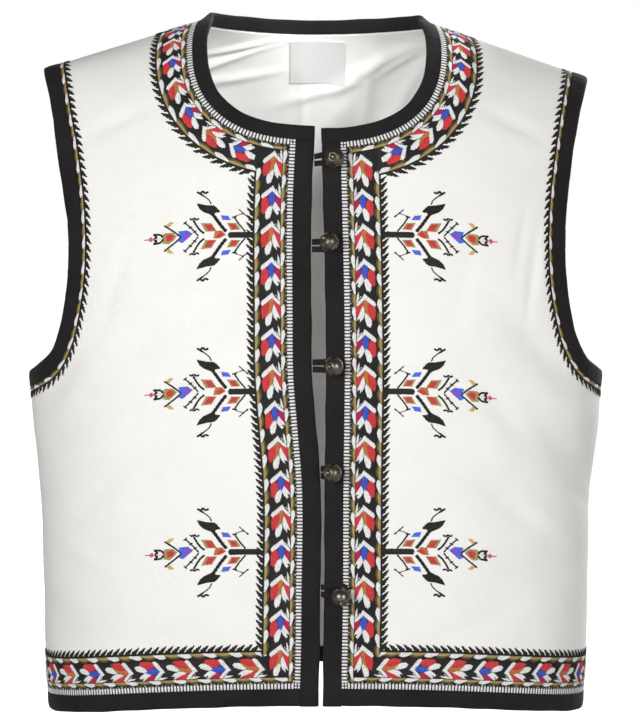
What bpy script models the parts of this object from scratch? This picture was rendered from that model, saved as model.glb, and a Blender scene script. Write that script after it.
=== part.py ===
# Embroidered folk vest, filled out as worn: cloth panels, bindings, ball buttons and cord loops.
# Metres, +Z up. The front faces -Y. The origin lies between the shoulder seams, where it is held.
# Points on the cloth are given by how far round they lie from the centre front, along the
# middle section, and by how far up the cloth they rise from the lowest point of the hem.

import bpy
import math
import numpy as np
from mathutils import Vector

# Heights are measured from the lowest point of the hem
HOLD_HEIGHT = 0.515
ROOF_START = 0.300          # above this the cloth turns in towards the shoulder seams
RIDGE_TOP = 0.5513          # the shoulder line carried on to the middle
RIDGE_ROUND = 0.030         # rounds it between the two slopes
LEFT_SLOPE = 0.313
RIGHT_SLOPE = 0.350
SECTION_POWER = 2.2         # 2 is an ellipse, more is squarer
ROOF_POWER = 0.86           # less than 1 makes the shoulders rounder

# Body sections: height, half width, depth of the front, depth of the back. Distances round
# the cloth are measured along the middle one.
BODY_SECTIONS = (
    (0.000, 0.2068, 0.1160, 0.1120),
    (0.050, 0.2100, 0.1175, 0.1120),
    (0.105, 0.2112, 0.1190, 0.1125),
    (0.155, 0.2125, 0.1200, 0.1130),
    (0.235, 0.2195, 0.1220, 0.1140),
    (0.300, 0.2230, 0.1210, 0.1140),
)
MIDDLE_SECTION = 3
HEM_LIFT_FRONT = 0.016      # the hem rises towards the centre front
HEM_LIFT_BACK = 0.0205      # and towards the centre back

# Front edges: height, left edge, right edge, both across from the middle
FRONT_EDGES = (
    (0.000, -0.0010, 0.0033),
    (0.045, 0.0009, 0.0036),
    (0.095, 0.0015, 0.0044),
    (0.190, 0.0014, 0.0048),
    (0.225, -0.0015, 0.0053),
    (0.265, -0.0046, 0.0057),
    (0.305, -0.0050, 0.0055),
    (0.400, -0.0046, 0.0036),
    (0.450, -0.0019, 0.0026),
)

# The neck's cut edge: a squarish curve in front, nearly straight behind
NECK_HALF_WIDTH = 0.0935
NECK_WIDEST_HEIGHT = 0.512
NECK_DROP_LEFT = 0.0715
NECK_DROP_RIGHT = 0.0735     # the buttons' side hangs a little lower
NECK_POWER = 2.5
NECK_POINT_ACROSS = 0.0895  # where the neck meets the shoulder seam
BACK_NECK_HEIGHT = 0.5245

# Armhole cut edges: across, height. The top row lies on the shoulder seam.
SHOULDER_TIP_ACROSS = 0.1985
ARMHOLE_BOTTOM_HEIGHT = 0.2505
ARMHOLE_FRONT = (
    (0.1930, 0.470),
    (0.1852, 0.430),
    (0.1795, 0.385),
    (0.1790, 0.345),
    (0.1828, 0.312),
    (0.1900, 0.286),
    (0.2030, 0.264),
)
ARMHOLE_BACK = (
    (0.1960, 0.470),
    (0.1925, 0.430),
    (0.1875, 0.390),
    (0.1845, 0.350),
    (0.1860, 0.315),
    (0.1920, 0.288),
    (0.2040, 0.264),
)

# Folds of the worn cloth: round, height, lean in degrees, half length, half width, depth
FOLDS = (
    (0.205, 0.198, -28.0, 0.050, 0.015, -0.0045),
    (0.215, 0.234, -20.0, 0.040, 0.013, 0.0020),
    (0.168, 0.282, -42.0, 0.042, 0.013, -0.0030),
    (0.170, 0.110, 12.0, 0.060, 0.018, -0.0018),
    (-0.200, 0.262, 48.0, 0.036, 0.013, -0.0028),
    (-0.205, 0.214, 14.0, 0.040, 0.012, -0.0026),
    (-0.215, 0.074, -16.0, 0.045, 0.016, -0.0020),
    (0.345, 0.225, 30.0, 0.052, 0.015, -0.0036),
    (0.330, 0.120, 20.0, 0.045, 0.014, -0.0022),
    (0.470, 0.300, 82.0, 0.070, 0.020, -0.0024),
    (-0.350, 0.235, -34.0, 0.048, 0.014, -0.0034),
    (-0.455, 0.160, -78.0, 0.065, 0.018, -0.0022),
)

# Cloth walls and bindings
PANEL_THICK = 0.0018
LINING_THICK = 0.0012
SEAM_GAP = 0.0003
BINDING_PROUD = 0.0006
BINDING_ROUND = 0.0012
NECK_BINDING = 0.0105
FRONT_BINDING = 0.0130
HEM_BINDING = 0.0124
ARMHOLE_BINDING = 0.0120
NECK_STAND_FROM = -0.010    # behind this depth the neck binding starts to stand up
NECK_STAND_TO = 0.020
NECK_STAND = 0.52
LINED_LIFT = -PANEL_THICK - SEAM_GAP - LINING_THICK

# Grid steps of the panels
SIDE_STEPS = 7
ARMHOLE_STEPS = 17
EDGE_STEPS = 14
NECK_STEPS = 10
HALF_COLUMNS = 12
SHOULDER_COLUMNS = 5
CURVE_SAMPLES = 400
TURN_SAMPLES = 721
NORMAL_STEP = 0.002
SHARP_ANGLE = 50.0          # degrees; edges sharper than this aren't shaded smooth

# Label at the back of the neck
LABEL_HALF_WIDTH = 0.0210
LABEL_HEIGHT = 0.0385
LABEL_DROP = 0.0055         # below the neck's cut edge
LABEL_ASIDE = 0.0025        # from the centre back, towards +X
LABEL_THICK = 0.0007
LABEL_COLUMNS = 4
LABEL_ROWS = 3

# Ball buttons: height, set back from the right edge, tilt and its direction in degrees
BUTTONS = (
    (0.4247, 0.0098, 15.0, 220.0),
    (0.3610, 0.0068, 36.0, 152.0),
    (0.2716, 0.0083, 26.0, 180.0),
    (0.1922, 0.0083, 28.0, 166.0),
    (0.1034, 0.0118, 29.0, 270.0),
)
BUTTON_RADIUS = 0.00725
SHANK_RADIUS = 0.0017
SHANK_LENGTH = 0.0049
TIP_RADIUS = 0.0021
TIP_NECK_RADIUS = 0.0015
BUTTON_SIDES = 10
BALL_LATITUDES = (-68.0, -42.0, -14.0, 14.0, 42.0, 66.0)
TIP_LATITUDES = (-30.0, 10.0, 55.0)

# Cord loops: a flattened cord that leaves the left edge and passes round a shank
CORD_HALF_WIDTH = 0.0022
CORD_HALF_THICK = 0.0013
CORD_SIDES = 8
CORD_SPREAD = 0.0027        # half the distance between its two runs at the left edge
CORD_TURN_STEPS = 6
CORD_GAP = 0.0006           # between a cord's end and the left edge

# A loop's way to its button: part of the slit, part of the button's set-back, how far the
# cord has risen on to the right binding, and how far its runs have spread round the shank
LOOP_STATIONS = (
    (0.00, 0.0, 0.00, 0.00),
    (0.45, 0.0, 0.35, 0.05),
    (0.85, 0.0, 0.92, 0.20),
    (1.00, 0.3, 1.00, 0.55),
    (1.00, 0.7, 1.00, 0.90),
)

# Finishes: colour, roughness, metallic
FINISHES = {
    "ivory_cloth": ((0.90, 0.89, 0.86), 0.85, 0.0),
    "lining_cloth": ((0.76, 0.77, 0.73), 0.80, 0.0),
    "binding_cloth": ((0.025, 0.022, 0.024), 0.80, 0.0),
    "label_cloth": ((0.86, 0.85, 0.82), 0.60, 0.0),
    "button_metal": ((0.22, 0.20, 0.17), 0.35, 1.0),
    "cord_cloth": ((0.020, 0.018, 0.020), 0.75, 0.0),
}

SECTION_TABLE = np.array(BODY_SECTIONS)
EDGE_TABLE = np.array(FRONT_EDGES)


# Smooth curves through tables
def smooth_column(table, column, height):
    """A smooth curve through one column of a table whose first column is the height."""
    knots = table[:, 0]
    values = table[:, column]
    slopes = np.gradient(values, knots)
    height = np.clip(height, knots[0], knots[-1])
    index = np.clip(np.searchsorted(knots, height, side="right") - 1, 0, len(knots) - 2)
    span = knots[index + 1] - knots[index]
    part = (height - knots[index]) / span
    start = (1 + 2 * part) * (1 - part) ** 2
    end = part ** 2 * (3 - 2 * part)
    rise = part * (1 - part) ** 2 * span * slopes[index]
    fall = part ** 2 * (part - 1) * span * slopes[index + 1]
    return start * values[index] + end * values[index + 1] + rise + fall


def smooth_path(points, samples=CURVE_SAMPLES):
    """A smooth curve through flat points, as a dense list of them."""
    points = np.array(points)
    steps = np.hypot(*np.diff(points, axis=0).T)
    knots = np.concatenate(([0.0], np.cumsum(steps)))
    where = np.linspace(0.0, knots[-1], samples)
    columns = []
    for column in range(2):
        table = np.column_stack((knots, points[:, column]))
        columns.append(smooth_column(table, 1, where))
    return np.column_stack(columns)


# The worn body's surface
def mean_section():
    """How far round the middle section each turn from the centre front lies."""
    row = SECTION_TABLE[MIDDLE_SECTION]
    turn = np.linspace(0.0, math.pi, TURN_SAMPLES)
    sine = np.abs(np.sin(turn)) ** (2 / SECTION_POWER)
    cosine = np.abs(np.cos(turn)) ** (2 / SECTION_POWER)
    depth = np.where(turn < math.pi / 2, -row[2], row[3])
    steps = np.hypot(np.diff(row[1] * sine), np.diff(depth * cosine))
    return turn, np.concatenate(([0.0], np.cumsum(steps)))


TURN_TABLE, ROUND_TABLE = mean_section()
HALF_ROUND = ROUND_TABLE[-1]
SIDE_ROUND = float(np.interp(math.pi / 2, TURN_TABLE, ROUND_TABLE))


def ridge_height(across):
    """The height of the shoulder line, which falls away from the middle."""
    slope = np.where(np.asarray(across) < 0, LEFT_SLOPE, RIGHT_SLOPE)
    return RIDGE_TOP - slope * (np.hypot(across, RIDGE_ROUND) - RIDGE_ROUND)


def bare_point(around, rise):
    """The smooth body surface, before its folds."""
    wrapped = (np.asarray(around) + HALF_ROUND) % (2 * HALF_ROUND) - HALF_ROUND
    turn = np.sign(wrapped) * np.interp(np.abs(wrapped), ROUND_TABLE, TURN_TABLE)
    sine = np.sin(turn)
    cosine = np.cos(turn)
    low = np.minimum(rise, ROOF_START)
    half_width = smooth_column(SECTION_TABLE, 1, low)
    depth = np.where(cosine > 0, smooth_column(SECTION_TABLE, 2, low), smooth_column(SECTION_TABLE, 3, low))
    across = half_width * np.sign(sine) * np.abs(sine) ** (2 / SECTION_POWER)
    deep = depth * np.sign(cosine) * np.abs(cosine) ** (2 / SECTION_POWER)
    span = ridge_height(across) - ROOF_START
    bend = np.maximum(rise - ROOF_START, 0.0) / span
    height = np.where(rise > ROOF_START, ROOF_START + span * np.sin(bend), rise)
    lean = np.sign(np.cos(bend)) * np.abs(np.cos(bend)) ** ROOF_POWER
    return np.stack((across, -deep * lean, height), axis=-1)


def fold_depth(around, rise):
    """How far the folds lift the cloth, or let it sink."""
    total = np.zeros(np.broadcast(around, rise).shape)
    for fold_round, fold_height, lean, half_length, half_width, depth in FOLDS:
        offset = (around - fold_round + HALF_ROUND) % (2 * HALF_ROUND) - HALF_ROUND
        up = rise - fold_height
        angle = math.radians(lean)
        along = offset * math.cos(angle) + up * math.sin(angle)
        aside = up * math.cos(angle) - offset * math.sin(angle)
        total = total + depth * np.exp(-(along / half_length) ** 2 - (aside / half_width) ** 2)
    return total


def cloth_normal(around, rise):
    """The outward direction of the body surface."""
    east = bare_point(around + NORMAL_STEP, rise) - bare_point(around - NORMAL_STEP, rise)
    north = bare_point(around, rise + NORMAL_STEP) - bare_point(around, rise - NORMAL_STEP)
    normal = np.cross(east, north)
    return normal / np.linalg.norm(normal, axis=-1, keepdims=True)


def cloth_point(around, rise, lift=0.0):
    """A point on the cloth, lifted outwards by a distance."""
    around = np.asarray(around, dtype=float)
    rise = np.asarray(rise, dtype=float)
    height = fold_depth(around, rise) + lift
    return bare_point(around, rise) + cloth_normal(around, rise) * height[..., None]


def on_cloth(across, height, behind=False):
    """The place round and up the cloth of a point seen from the front."""
    across = np.asarray(across, dtype=float)
    height = np.asarray(height, dtype=float)
    half_width = smooth_column(SECTION_TABLE, 1, np.minimum(height, ROOF_START))
    ratio = np.clip(np.abs(across) / half_width, 0.0, 1.0)
    turn = np.arcsin(ratio ** (SECTION_POWER / 2))
    if behind:
        turn = math.pi - turn
    around = np.sign(across) * np.interp(turn, TURN_TABLE, ROUND_TABLE)
    span = ridge_height(across) - ROOF_START
    lean = np.arcsin(np.clip((height - ROOF_START) / span, 0.0, 1.0))
    rise = np.where(height > ROOF_START, ROOF_START + span * lean, height)
    return np.stack((around, rise), axis=-1)


def hem_rise(around):
    """The height of the hem's lower edge."""
    turn = np.interp(np.abs(around), ROUND_TABLE, TURN_TABLE)
    lift = np.where(turn < math.pi / 2, HEM_LIFT_FRONT, HEM_LIFT_BACK)
    return lift * np.cos(turn) ** 2


def spaced(path, steps):
    """Points along a path on the cloth, evenly spaced in space."""
    points = cloth_point(path[:, 0], path[:, 1])
    lengths = np.linalg.norm(np.diff(points, axis=0), axis=1)
    travelled = np.concatenate(([0.0], np.cumsum(lengths)))
    wanted = np.linspace(0.0, travelled[-1], steps + 1)
    around = np.interp(wanted, travelled, path[:, 0])
    rise = np.interp(wanted, travelled, path[:, 1])
    return np.column_stack((around, rise))


# Edges of the panels. A side is 1 towards +X, the viewer's right, and -1 towards -X.
def edge_across(height, side):
    """Where a front edge lies, across from the middle."""
    return smooth_column(EDGE_TABLE, 2 if side > 0 else 1, height)


def neck_drop(across):
    """How far the neck's cut edge falls in front, on the side of a place."""
    return np.where(np.asarray(across) > 0, NECK_DROP_RIGHT, NECK_DROP_LEFT)


def front_neck_height(across):
    """The height of the neck's cut edge in front."""
    ratio = np.clip(np.abs(across) / NECK_HALF_WIDTH, 0.0, 1.0)
    return NECK_WIDEST_HEIGHT - neck_drop(across) * (1 - ratio ** NECK_POWER) ** (1 / NECK_POWER)


def neck_corner(side):
    """The front panel's corner between its front edge and its neck: across, height."""
    across = float(edge_across(NECK_WIDEST_HEIGHT - neck_drop(side), side)) + side * FRONT_BINDING
    return across, float(front_neck_height(across))


def front_edge_path(side):
    """The front panel's cut edge, from the hem to the neck's corner."""
    height = np.linspace(HEM_LIFT_FRONT + HEM_BINDING, neck_corner(side)[1], CURVE_SAMPLES)
    return on_cloth(edge_across(height, side) + side * FRONT_BINDING, height)


def front_neck_path(side):
    """The neck's cut edge in front, from the front panel's corner to the shoulder seam."""
    start = abs(neck_corner(side)[0]) / NECK_HALF_WIDTH
    angle = np.linspace(math.asin(start ** (NECK_POWER / 2)), math.pi / 2, CURVE_SAMPLES)
    across = NECK_HALF_WIDTH * np.sin(angle) ** (2 / NECK_POWER)
    height = NECK_WIDEST_HEIGHT - neck_drop(side) * np.abs(np.cos(angle)) ** (2 / NECK_POWER)
    part = np.linspace(0.0, 1.0, CURVE_SAMPLES // 4)[1:]
    top = ridge_height(side * NECK_POINT_ACROSS)
    upper_across = NECK_HALF_WIDTH - (NECK_HALF_WIDTH - NECK_POINT_ACROSS) * part ** 2
    upper_height = NECK_WIDEST_HEIGHT + (top - NECK_WIDEST_HEIGHT) * part
    across = side * np.concatenate((across, upper_across))
    path = on_cloth(across, np.concatenate((height, upper_height)))
    path[-1] = shoulder_path(side, False)[0]
    return path


def shoulder_path(side, behind):
    """The shoulder seam from the neck to the tip."""
    across = side * np.linspace(NECK_POINT_ACROSS, SHOULDER_TIP_ACROSS, CURVE_SAMPLES)
    path = on_cloth(across, ridge_height(across), behind)
    path[:, 1] -= SEAM_GAP / 2
    return path


def back_neck_path(side):
    """The neck's cut edge behind, from the shoulder seam to the centre back."""
    part = np.linspace(0.0, 1.0, CURVE_SAMPLES)
    across = side * NECK_POINT_ACROSS * np.cos(part * math.pi / 2)
    top = ridge_height(side * NECK_POINT_ACROSS)
    height = BACK_NECK_HEIGHT + (top - BACK_NECK_HEIGHT) * np.cos(part * math.pi / 2) ** 2
    path = on_cloth(across, height, True)
    path[0] = shoulder_path(side, True)[0]
    path[-1, 0] = side * HALF_ROUND
    return path


def side_path(side, behind):
    """The side seam from the hem to the armhole."""
    rise = np.linspace(HEM_BINDING, ARMHOLE_BOTTOM_HEIGHT, CURVE_SAMPLES)
    seam = SIDE_ROUND + (SEAM_GAP / 2 if behind else -SEAM_GAP / 2)
    return np.column_stack((np.full_like(rise, side * seam), rise))


def armhole_path(side, behind):
    """The armhole's cut edge from its lowest point to the shoulder tip."""
    table = ARMHOLE_BACK if behind else ARMHOLE_FRONT
    side_width = float(smooth_column(SECTION_TABLE, 1, ARMHOLE_BOTTOM_HEIGHT))
    tip = (SHOULDER_TIP_ACROSS, float(ridge_height(side * SHOULDER_TIP_ACROSS)))
    flat = smooth_path((tip,) + table + ((side_width, ARMHOLE_BOTTOM_HEIGHT),))
    path = on_cloth(side * flat[::-1, 0], flat[::-1, 1], behind)
    path[0] = side_path(side, behind)[-1]
    path[-1] = shoulder_path(side, behind)[-1]
    return path


def hem_path(start, end):
    """The panels' lower cut edge, above the hem binding."""
    around = np.linspace(start, end, CURVE_SAMPLES)
    return np.column_stack((around, hem_rise(around) + HEM_BINDING))


# Grids on the cloth, as rows from the hem up
def filled_grid(bottom, top, first, last):
    """A grid whose four edges are the four lists of points."""
    across = np.linspace(0.0, 1.0, len(bottom))[None, :, None]
    up = np.linspace(0.0, 1.0, len(first))[:, None, None]
    ruled_up = (1 - up) * bottom[None] + up * top[None]
    ruled_across = (1 - across) * first[:, None] + across * last[:, None]
    low = (1 - across) * bottom[0] + across * bottom[-1]
    high = (1 - across) * top[0] + across * top[-1]
    return ruled_up + ruled_across - ((1 - up) * low + up * high)


def joined(*pieces):
    """Lists of points end to end, each joint's point once."""
    return np.concatenate([pieces[0]] + [piece[1:] for piece in pieces[1:]])


def front_grid(side):
    """A front panel, each row from the closure out to the side on +X, and the other way on -X."""
    inner = joined(spaced(front_edge_path(side), EDGE_STEPS), spaced(front_neck_path(side), NECK_STEPS))
    side_edge = spaced(side_path(side, False), SIDE_STEPS)
    outer = joined(side_edge, spaced(armhole_path(side, False), ARMHOLE_STEPS))
    bottom = spaced(hem_path(inner[0, 0], outer[0, 0]), HALF_COLUMNS)
    top = spaced(shoulder_path(side, False), HALF_COLUMNS)
    bottom[0] = inner[0]
    bottom[-1] = outer[0]
    grid = filled_grid(bottom, top, inner, outer)
    return grid if side > 0 else grid[:, ::-1]


def half_back_grid(side):
    """Half the back, each row from the side seam to the centre back."""
    side_edge = spaced(side_path(side, True), SIDE_STEPS)
    outer = joined(side_edge, spaced(armhole_path(side, True), ARMHOLE_STEPS))
    shoulder = spaced(shoulder_path(side, True), SHOULDER_COLUMNS)[::-1]
    top = joined(shoulder, spaced(back_neck_path(side), HALF_COLUMNS - SHOULDER_COLUMNS))
    bottom = spaced(hem_path(outer[0, 0], side * HALF_ROUND), HALF_COLUMNS)
    bottom[0] = outer[0]
    rise = np.linspace(bottom[-1, 1], top[-1, 1], len(outer))
    middle = np.column_stack((np.full(len(outer), side * HALF_ROUND), rise))
    return filled_grid(bottom, top, outer, middle)


def back_grid():
    """The back from the side towards +X round to the other one."""
    other = half_back_grid(-1)[:, -2::-1].copy()
    other[:, :, 0] += 2 * HALF_ROUND
    return np.concatenate((half_back_grid(1), other), axis=1)


# Solids
def finish_material(name):
    material = bpy.data.materials.get(name)
    if material is None:
        colour, roughness, metallic = FINISHES[name]
        material = bpy.data.materials.new(name)
        material.use_nodes = True
        shader = material.node_tree.nodes["Principled BSDF"]
        shader.inputs["Base Color"].default_value = (*colour, 1.0)
        shader.inputs["Roughness"].default_value = roughness
        shader.inputs["Metallic"].default_value = metallic
    return material


def add_piece(name, points, faces, finish, place=(0.0, 0.0, -HOLD_HEIGHT), smooth=True):
    mesh = bpy.data.meshes.new(name)
    mesh.from_pydata([tuple(point) for point in points], [], faces)
    mesh.materials.append(finish_material(finish))
    if smooth:
        mesh.shade_smooth()
        mesh.set_sharp_from_angle(angle=math.radians(SHARP_ANGLE))
    piece = bpy.data.objects.new(name, mesh)
    piece.location = place
    bpy.context.scene.collection.objects.link(piece)
    return piece


def grid_faces(rows, columns, start, flip):
    """Two triangles for each cell of a grid, always split the same way."""
    faces = []
    for row in range(rows - 1):
        for column in range(columns - 1):
            corner = start + row * columns + column
            above = corner + columns
            pair = [(corner, corner + 1, above + 1), (corner, above + 1, above)]
            faces += [face[::-1] for face in pair] if flip else pair
    return faces


def wall_faces(rows, columns):
    """The faces of a wall whose outer grid comes first and whose inner grid follows."""
    count = rows * columns
    faces = grid_faces(rows, columns, 0, False) + grid_faces(rows, columns, count, True)
    rim = [column for column in range(columns)]
    rim += [row * columns + columns - 1 for row in range(1, rows)]
    rim += [(rows - 1) * columns + column for column in range(columns - 2, -1, -1)]
    rim += [row * columns for row in range(rows - 2, 0, -1)]
    for here, there in zip(rim, rim[1:] + rim[:1]):
        faces += [(here, here + count, there + count), (here, there + count, there)]
    return faces


def cloth_wall(name, grid, outer, inner, finish):
    """A cloth wall between two lifts of one grid."""
    rows, columns = grid.shape[:2]
    around = grid[:, :, 0].ravel()
    rise = grid[:, :, 1].ravel()
    points = np.concatenate((cloth_point(around, rise, outer), cloth_point(around, rise, inner)))
    return add_piece(name, points, wall_faces(rows, columns), finish)


def swept_faces(rings, sides, closed):
    """The faces between rings of points, with an end face on each open end."""
    faces = []
    spans = rings if closed else rings - 1
    for ring in range(spans):
        here = ring * sides
        there = (ring + 1) % rings * sides
        for side in range(sides):
            after = (side + 1) % sides
            faces.append((here + side, there + side, there + after))
            faces.append((here + side, there + after, here + after))
    if not closed:
        faces.append(tuple(range(sides)))
        faces.append(tuple((rings - 1) * sides + side for side in reversed(range(sides))))
    return faces


def binding_profile(width):
    """A folded band's section: distance from the cut edge, and lift from the cloth."""
    top = BINDING_PROUD
    low = LINED_LIFT - BINDING_PROUD
    return (
        (SEAM_GAP, top),
        (width - BINDING_ROUND, top),
        (width, top - BINDING_ROUND),
        (width, low + BINDING_ROUND),
        (width - BINDING_ROUND, low),
        (SEAM_GAP, low),
    )


def edge_frames(path, away):
    """Places, outward normals and directions away from the cloth along its cut edge."""
    places = cloth_point(path[:, 0], path[:, 1])
    normals = cloth_normal(path[:, 0], path[:, 1])
    aside = away * np.cross(normals, np.gradient(places, axis=0))
    aside /= np.linalg.norm(aside, axis=1, keepdims=True)
    return places, normals, aside


def binding(name, frames, width, closed=False):
    """A band folded over a cut edge."""
    places, normals, aside = frames
    profile = binding_profile(width)
    points = []
    for place, normal, outward in zip(places, normals, aside):
        points += [place + outward * reach + normal * lift for reach, lift in profile]
    faces = swept_faces(len(places), len(profile), closed)
    travel = places[1:] - places[:-1]
    handed = np.sum(np.cross(aside, normals)[:-1] * travel)
    if handed < 0:
        faces = [face[::-1] for face in faces]
    return add_piece(name, points, faces, "binding_cloth")


# Cloth panels
def make_panels(grids):
    cloth_wall("front_left", grids["left"], 0.0, -PANEL_THICK, "ivory_cloth")
    cloth_wall("front_right", grids["right"], 0.0, -PANEL_THICK, "ivory_cloth")
    cloth_wall("back", grids["back"], 0.0, -PANEL_THICK, "ivory_cloth")
    outer = -PANEL_THICK - SEAM_GAP
    cloth_wall("back_lining", grids["back"], outer, outer - LINING_THICK, "lining_cloth")


# Bindings
def inner_points(grid, side):
    """A front panel's edge on the closure side, from the hem to the shoulder."""
    return grid[:, 0] if side > 0 else grid[:, -1]


def outer_points(grid, side):
    """A front panel's edge on the armhole side, from the hem to the shoulder."""
    return grid[:, -1] if side > 0 else grid[:, 0]


def make_front_bindings(grids):
    for name, side in (("left", -1), ("right", 1)):
        edge = inner_points(grids[name], side)[:EDGE_STEPS + 1]
        foot = edge[:1].copy()
        foot[0, 1] = hem_rise(foot[0, 0])
        path = np.concatenate((foot, edge))
        frames = edge_frames(path, side)
        binding("front_binding_" + name, frames, FRONT_BINDING)


def make_hem_bindings(grids):
    for name in ("left", "right", "back"):
        frames = edge_frames(grids[name][0], -1)
        binding("hem_binding_" + name, frames, HEM_BINDING)


def armhole_ring(grids, name, side):
    """The armhole's edge up the front panel, over the shoulder tip and down the back."""
    front = outer_points(grids[name], side)[SIDE_STEPS:]
    back = grids["back"][SIDE_STEPS:, 0] if side > 0 else grids["back"][SIDE_STEPS:, -1].copy()
    if side < 0:
        back[:, 0] -= 2 * HALF_ROUND
    front = front.copy()
    front[0] = (front[0] + back[0]) / 2
    front_tip = cloth_point(*front[-1])
    back_tip = cloth_point(*back[-1])
    ring = np.concatenate((front, back[-2:0:-1]))
    return ring, (front_tip + back_tip) / 2, len(front) - 1


def make_armhole_bindings(grids):
    for name, side in (("left", -1), ("right", 1)):
        ring, tip_place, tip = armhole_ring(grids, name, side)
        places = cloth_point(ring[:, 0], ring[:, 1])
        places[tip] = tip_place
        normals = cloth_normal(ring[:, 0], ring[:, 1])
        travel = np.roll(places, -1, axis=0) - np.roll(places, 1, axis=0)
        aside = side * np.cross(travel, normals)
        aside /= np.linalg.norm(aside, axis=1, keepdims=True)
        binding("armhole_binding_" + name, (places, normals, aside), ARMHOLE_BINDING, closed=True)


def neck_start(side):
    """The neck edge's free end above the front binding."""
    across = float(edge_across(NECK_WIDEST_HEIGHT - neck_drop(side), side))
    return on_cloth(across, front_neck_height(across))


def neck_edge(grids):
    """The whole neck edge, from the left front round the back to the right front."""
    left = inner_points(grids["left"], -1)[EDGE_STEPS:]
    right = inner_points(grids["right"], 1)[EDGE_STEPS:]
    back = grids["back"][-1, SHOULDER_COLUMNS:len(grids["back"][-1]) - SHOULDER_COLUMNS][::-1]
    back = back[1:-1]
    return np.concatenate((neck_start(-1)[None], left, back, right[::-1], neck_start(1)[None]))


def make_neck_binding(grids):
    """The neck's band lies on the cloth in front and stands up behind."""
    path = neck_edge(grids)
    places, normals, aside = edge_frames(path, -1)
    lift = np.clip((places[:, 1] - NECK_STAND_FROM) / (NECK_STAND_TO - NECK_STAND_FROM), 0.0, 1.0)
    stand = (NECK_STAND * lift ** 2 * (3 - 2 * lift))[:, None]
    aside = (1 - stand) * aside + stand * np.array((0.0, 0.0, 1.0))
    travel = np.gradient(places, axis=0)
    aside /= np.linalg.norm(aside, axis=1, keepdims=True)
    across = np.cross(travel, aside)
    across /= np.linalg.norm(across, axis=1, keepdims=True)
    across *= np.sign(np.sum(across * normals, axis=1, keepdims=True))
    binding("neck_binding", (places, across, aside), NECK_BINDING)


# Label
def on_facets(points, row, column):
    """A point on a grid's own triangles, at a fractional row and column."""
    low_row = min(int(row), points.shape[0] - 2)
    low_column = min(int(column), points.shape[1] - 2)
    up = row - low_row
    over = column - low_column
    corner = points[low_row, low_column]
    far = points[low_row + 1, low_column + 1]
    if over > up:
        side = points[low_row, low_column + 1]
        return corner + (side - corner) * over + (far - side) * up
    side = points[low_row + 1, low_column]
    return corner + (side - corner) * up + (far - side) * over


def make_label(grids):
    grid = grids["back"]
    lift = LINED_LIFT - SEAM_GAP
    surface = cloth_point(grid[:, :, 0], grid[:, :, 1], lift)
    inward = -cloth_normal(grid[:, :, 0], grid[:, :, 1])
    middle = (grid.shape[1] - 1) / 2
    top = grid.shape[0] - 1
    row_step = np.linalg.norm(surface[-1, int(middle)] - surface[-2, int(middle)])
    column_step = np.linalg.norm(surface[-2, int(middle)] - surface[-2, int(middle) + 1])
    outer = []
    inner = []
    for row in range(LABEL_ROWS + 1):
        down = LABEL_DROP + LABEL_HEIGHT * (1 - row / LABEL_ROWS)
        for column in range(LABEL_COLUMNS + 1):
            over = LABEL_HALF_WIDTH * (2 * column / LABEL_COLUMNS - 1) - LABEL_ASIDE
            place = (top - down / row_step, middle + over / column_step)
            point = on_facets(surface, *place)
            outer.append(point)
            inner.append(point + LABEL_THICK * on_facets(inward, *place))
    faces = wall_faces(LABEL_ROWS + 1, LABEL_COLUMNS + 1)
    add_piece("label", outer + inner, faces, "label_cloth", smooth=False)


# Buttons and loops
def button_frame(height, set_back):
    """Where a button is sewn, the cloth's outward normal, and the way across and up there."""
    across = float(edge_across(height, 1)) + set_back
    around, rise = on_cloth(across, height)
    place = cloth_point(around, rise, BINDING_PROUD)
    normal = cloth_normal(around, rise)
    up = np.array((0.0, 0.0, 1.0)) - normal * normal[2]
    up /= np.linalg.norm(up)
    return place, normal, np.cross(up, normal), up


def ring_points(centre, axis, radius, sides):
    """A circle of points about an axis."""
    turn = Vector((0.0, -1.0, 0.0)).rotation_difference(Vector(axis)).to_matrix()
    points = []
    for side in range(sides):
        angle = 2 * math.pi * side / sides
        flat = Vector((math.cos(angle), 0.0, math.sin(angle)))
        points.append(np.array(centre) + radius * np.array(turn @ flat))
    return points


def make_buttons():
    for number, (height, set_back, tilt, toward) in enumerate(BUTTONS, start=1):
        place, normal, across, up = button_frame(height, set_back)
        angle = math.radians(tilt)
        heading = math.radians(toward)
        lean = across * math.cos(heading) + up * math.sin(heading)
        axis = normal * math.cos(angle) + lean * math.sin(angle)
        first = math.radians(BALL_LATITUDES[0])
        last = math.radians(BALL_LATITUDES[-1])
        neck = normal * SHANK_LENGTH
        centre = neck - axis * BUTTON_RADIUS * math.sin(first)
        rings = [(normal * SEAM_GAP, normal, SHANK_RADIUS)]
        rings.append((neck - normal * SHANK_RADIUS, normal, SHANK_RADIUS))
        for latitude in BALL_LATITUDES:
            level = math.radians(latitude)
            ring_centre = centre + axis * BUTTON_RADIUS * math.sin(level)
            rings.append((ring_centre, axis, BUTTON_RADIUS * math.cos(level)))
        shoulder = BUTTON_RADIUS * math.sin(last) + TIP_NECK_RADIUS / 2
        rings.append((centre + axis * shoulder, axis, TIP_NECK_RADIUS))
        tip = centre + axis * (shoulder + TIP_RADIUS)
        for latitude in TIP_LATITUDES:
            level = math.radians(latitude)
            rings.append((tip + axis * TIP_RADIUS * math.sin(level), axis, TIP_RADIUS * math.cos(level)))
        points = []
        for ring_centre, ring_axis, radius in rings:
            points += ring_points(ring_centre, ring_axis, radius, BUTTON_SIDES)
        faces = [face[::-1] for face in swept_faces(len(rings), BUTTON_SIDES, False)]
        where = place - np.array((0.0, 0.0, HOLD_HEIGHT))
        add_piece("button_%d" % number, points, faces, "button_metal", place=where)


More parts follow.
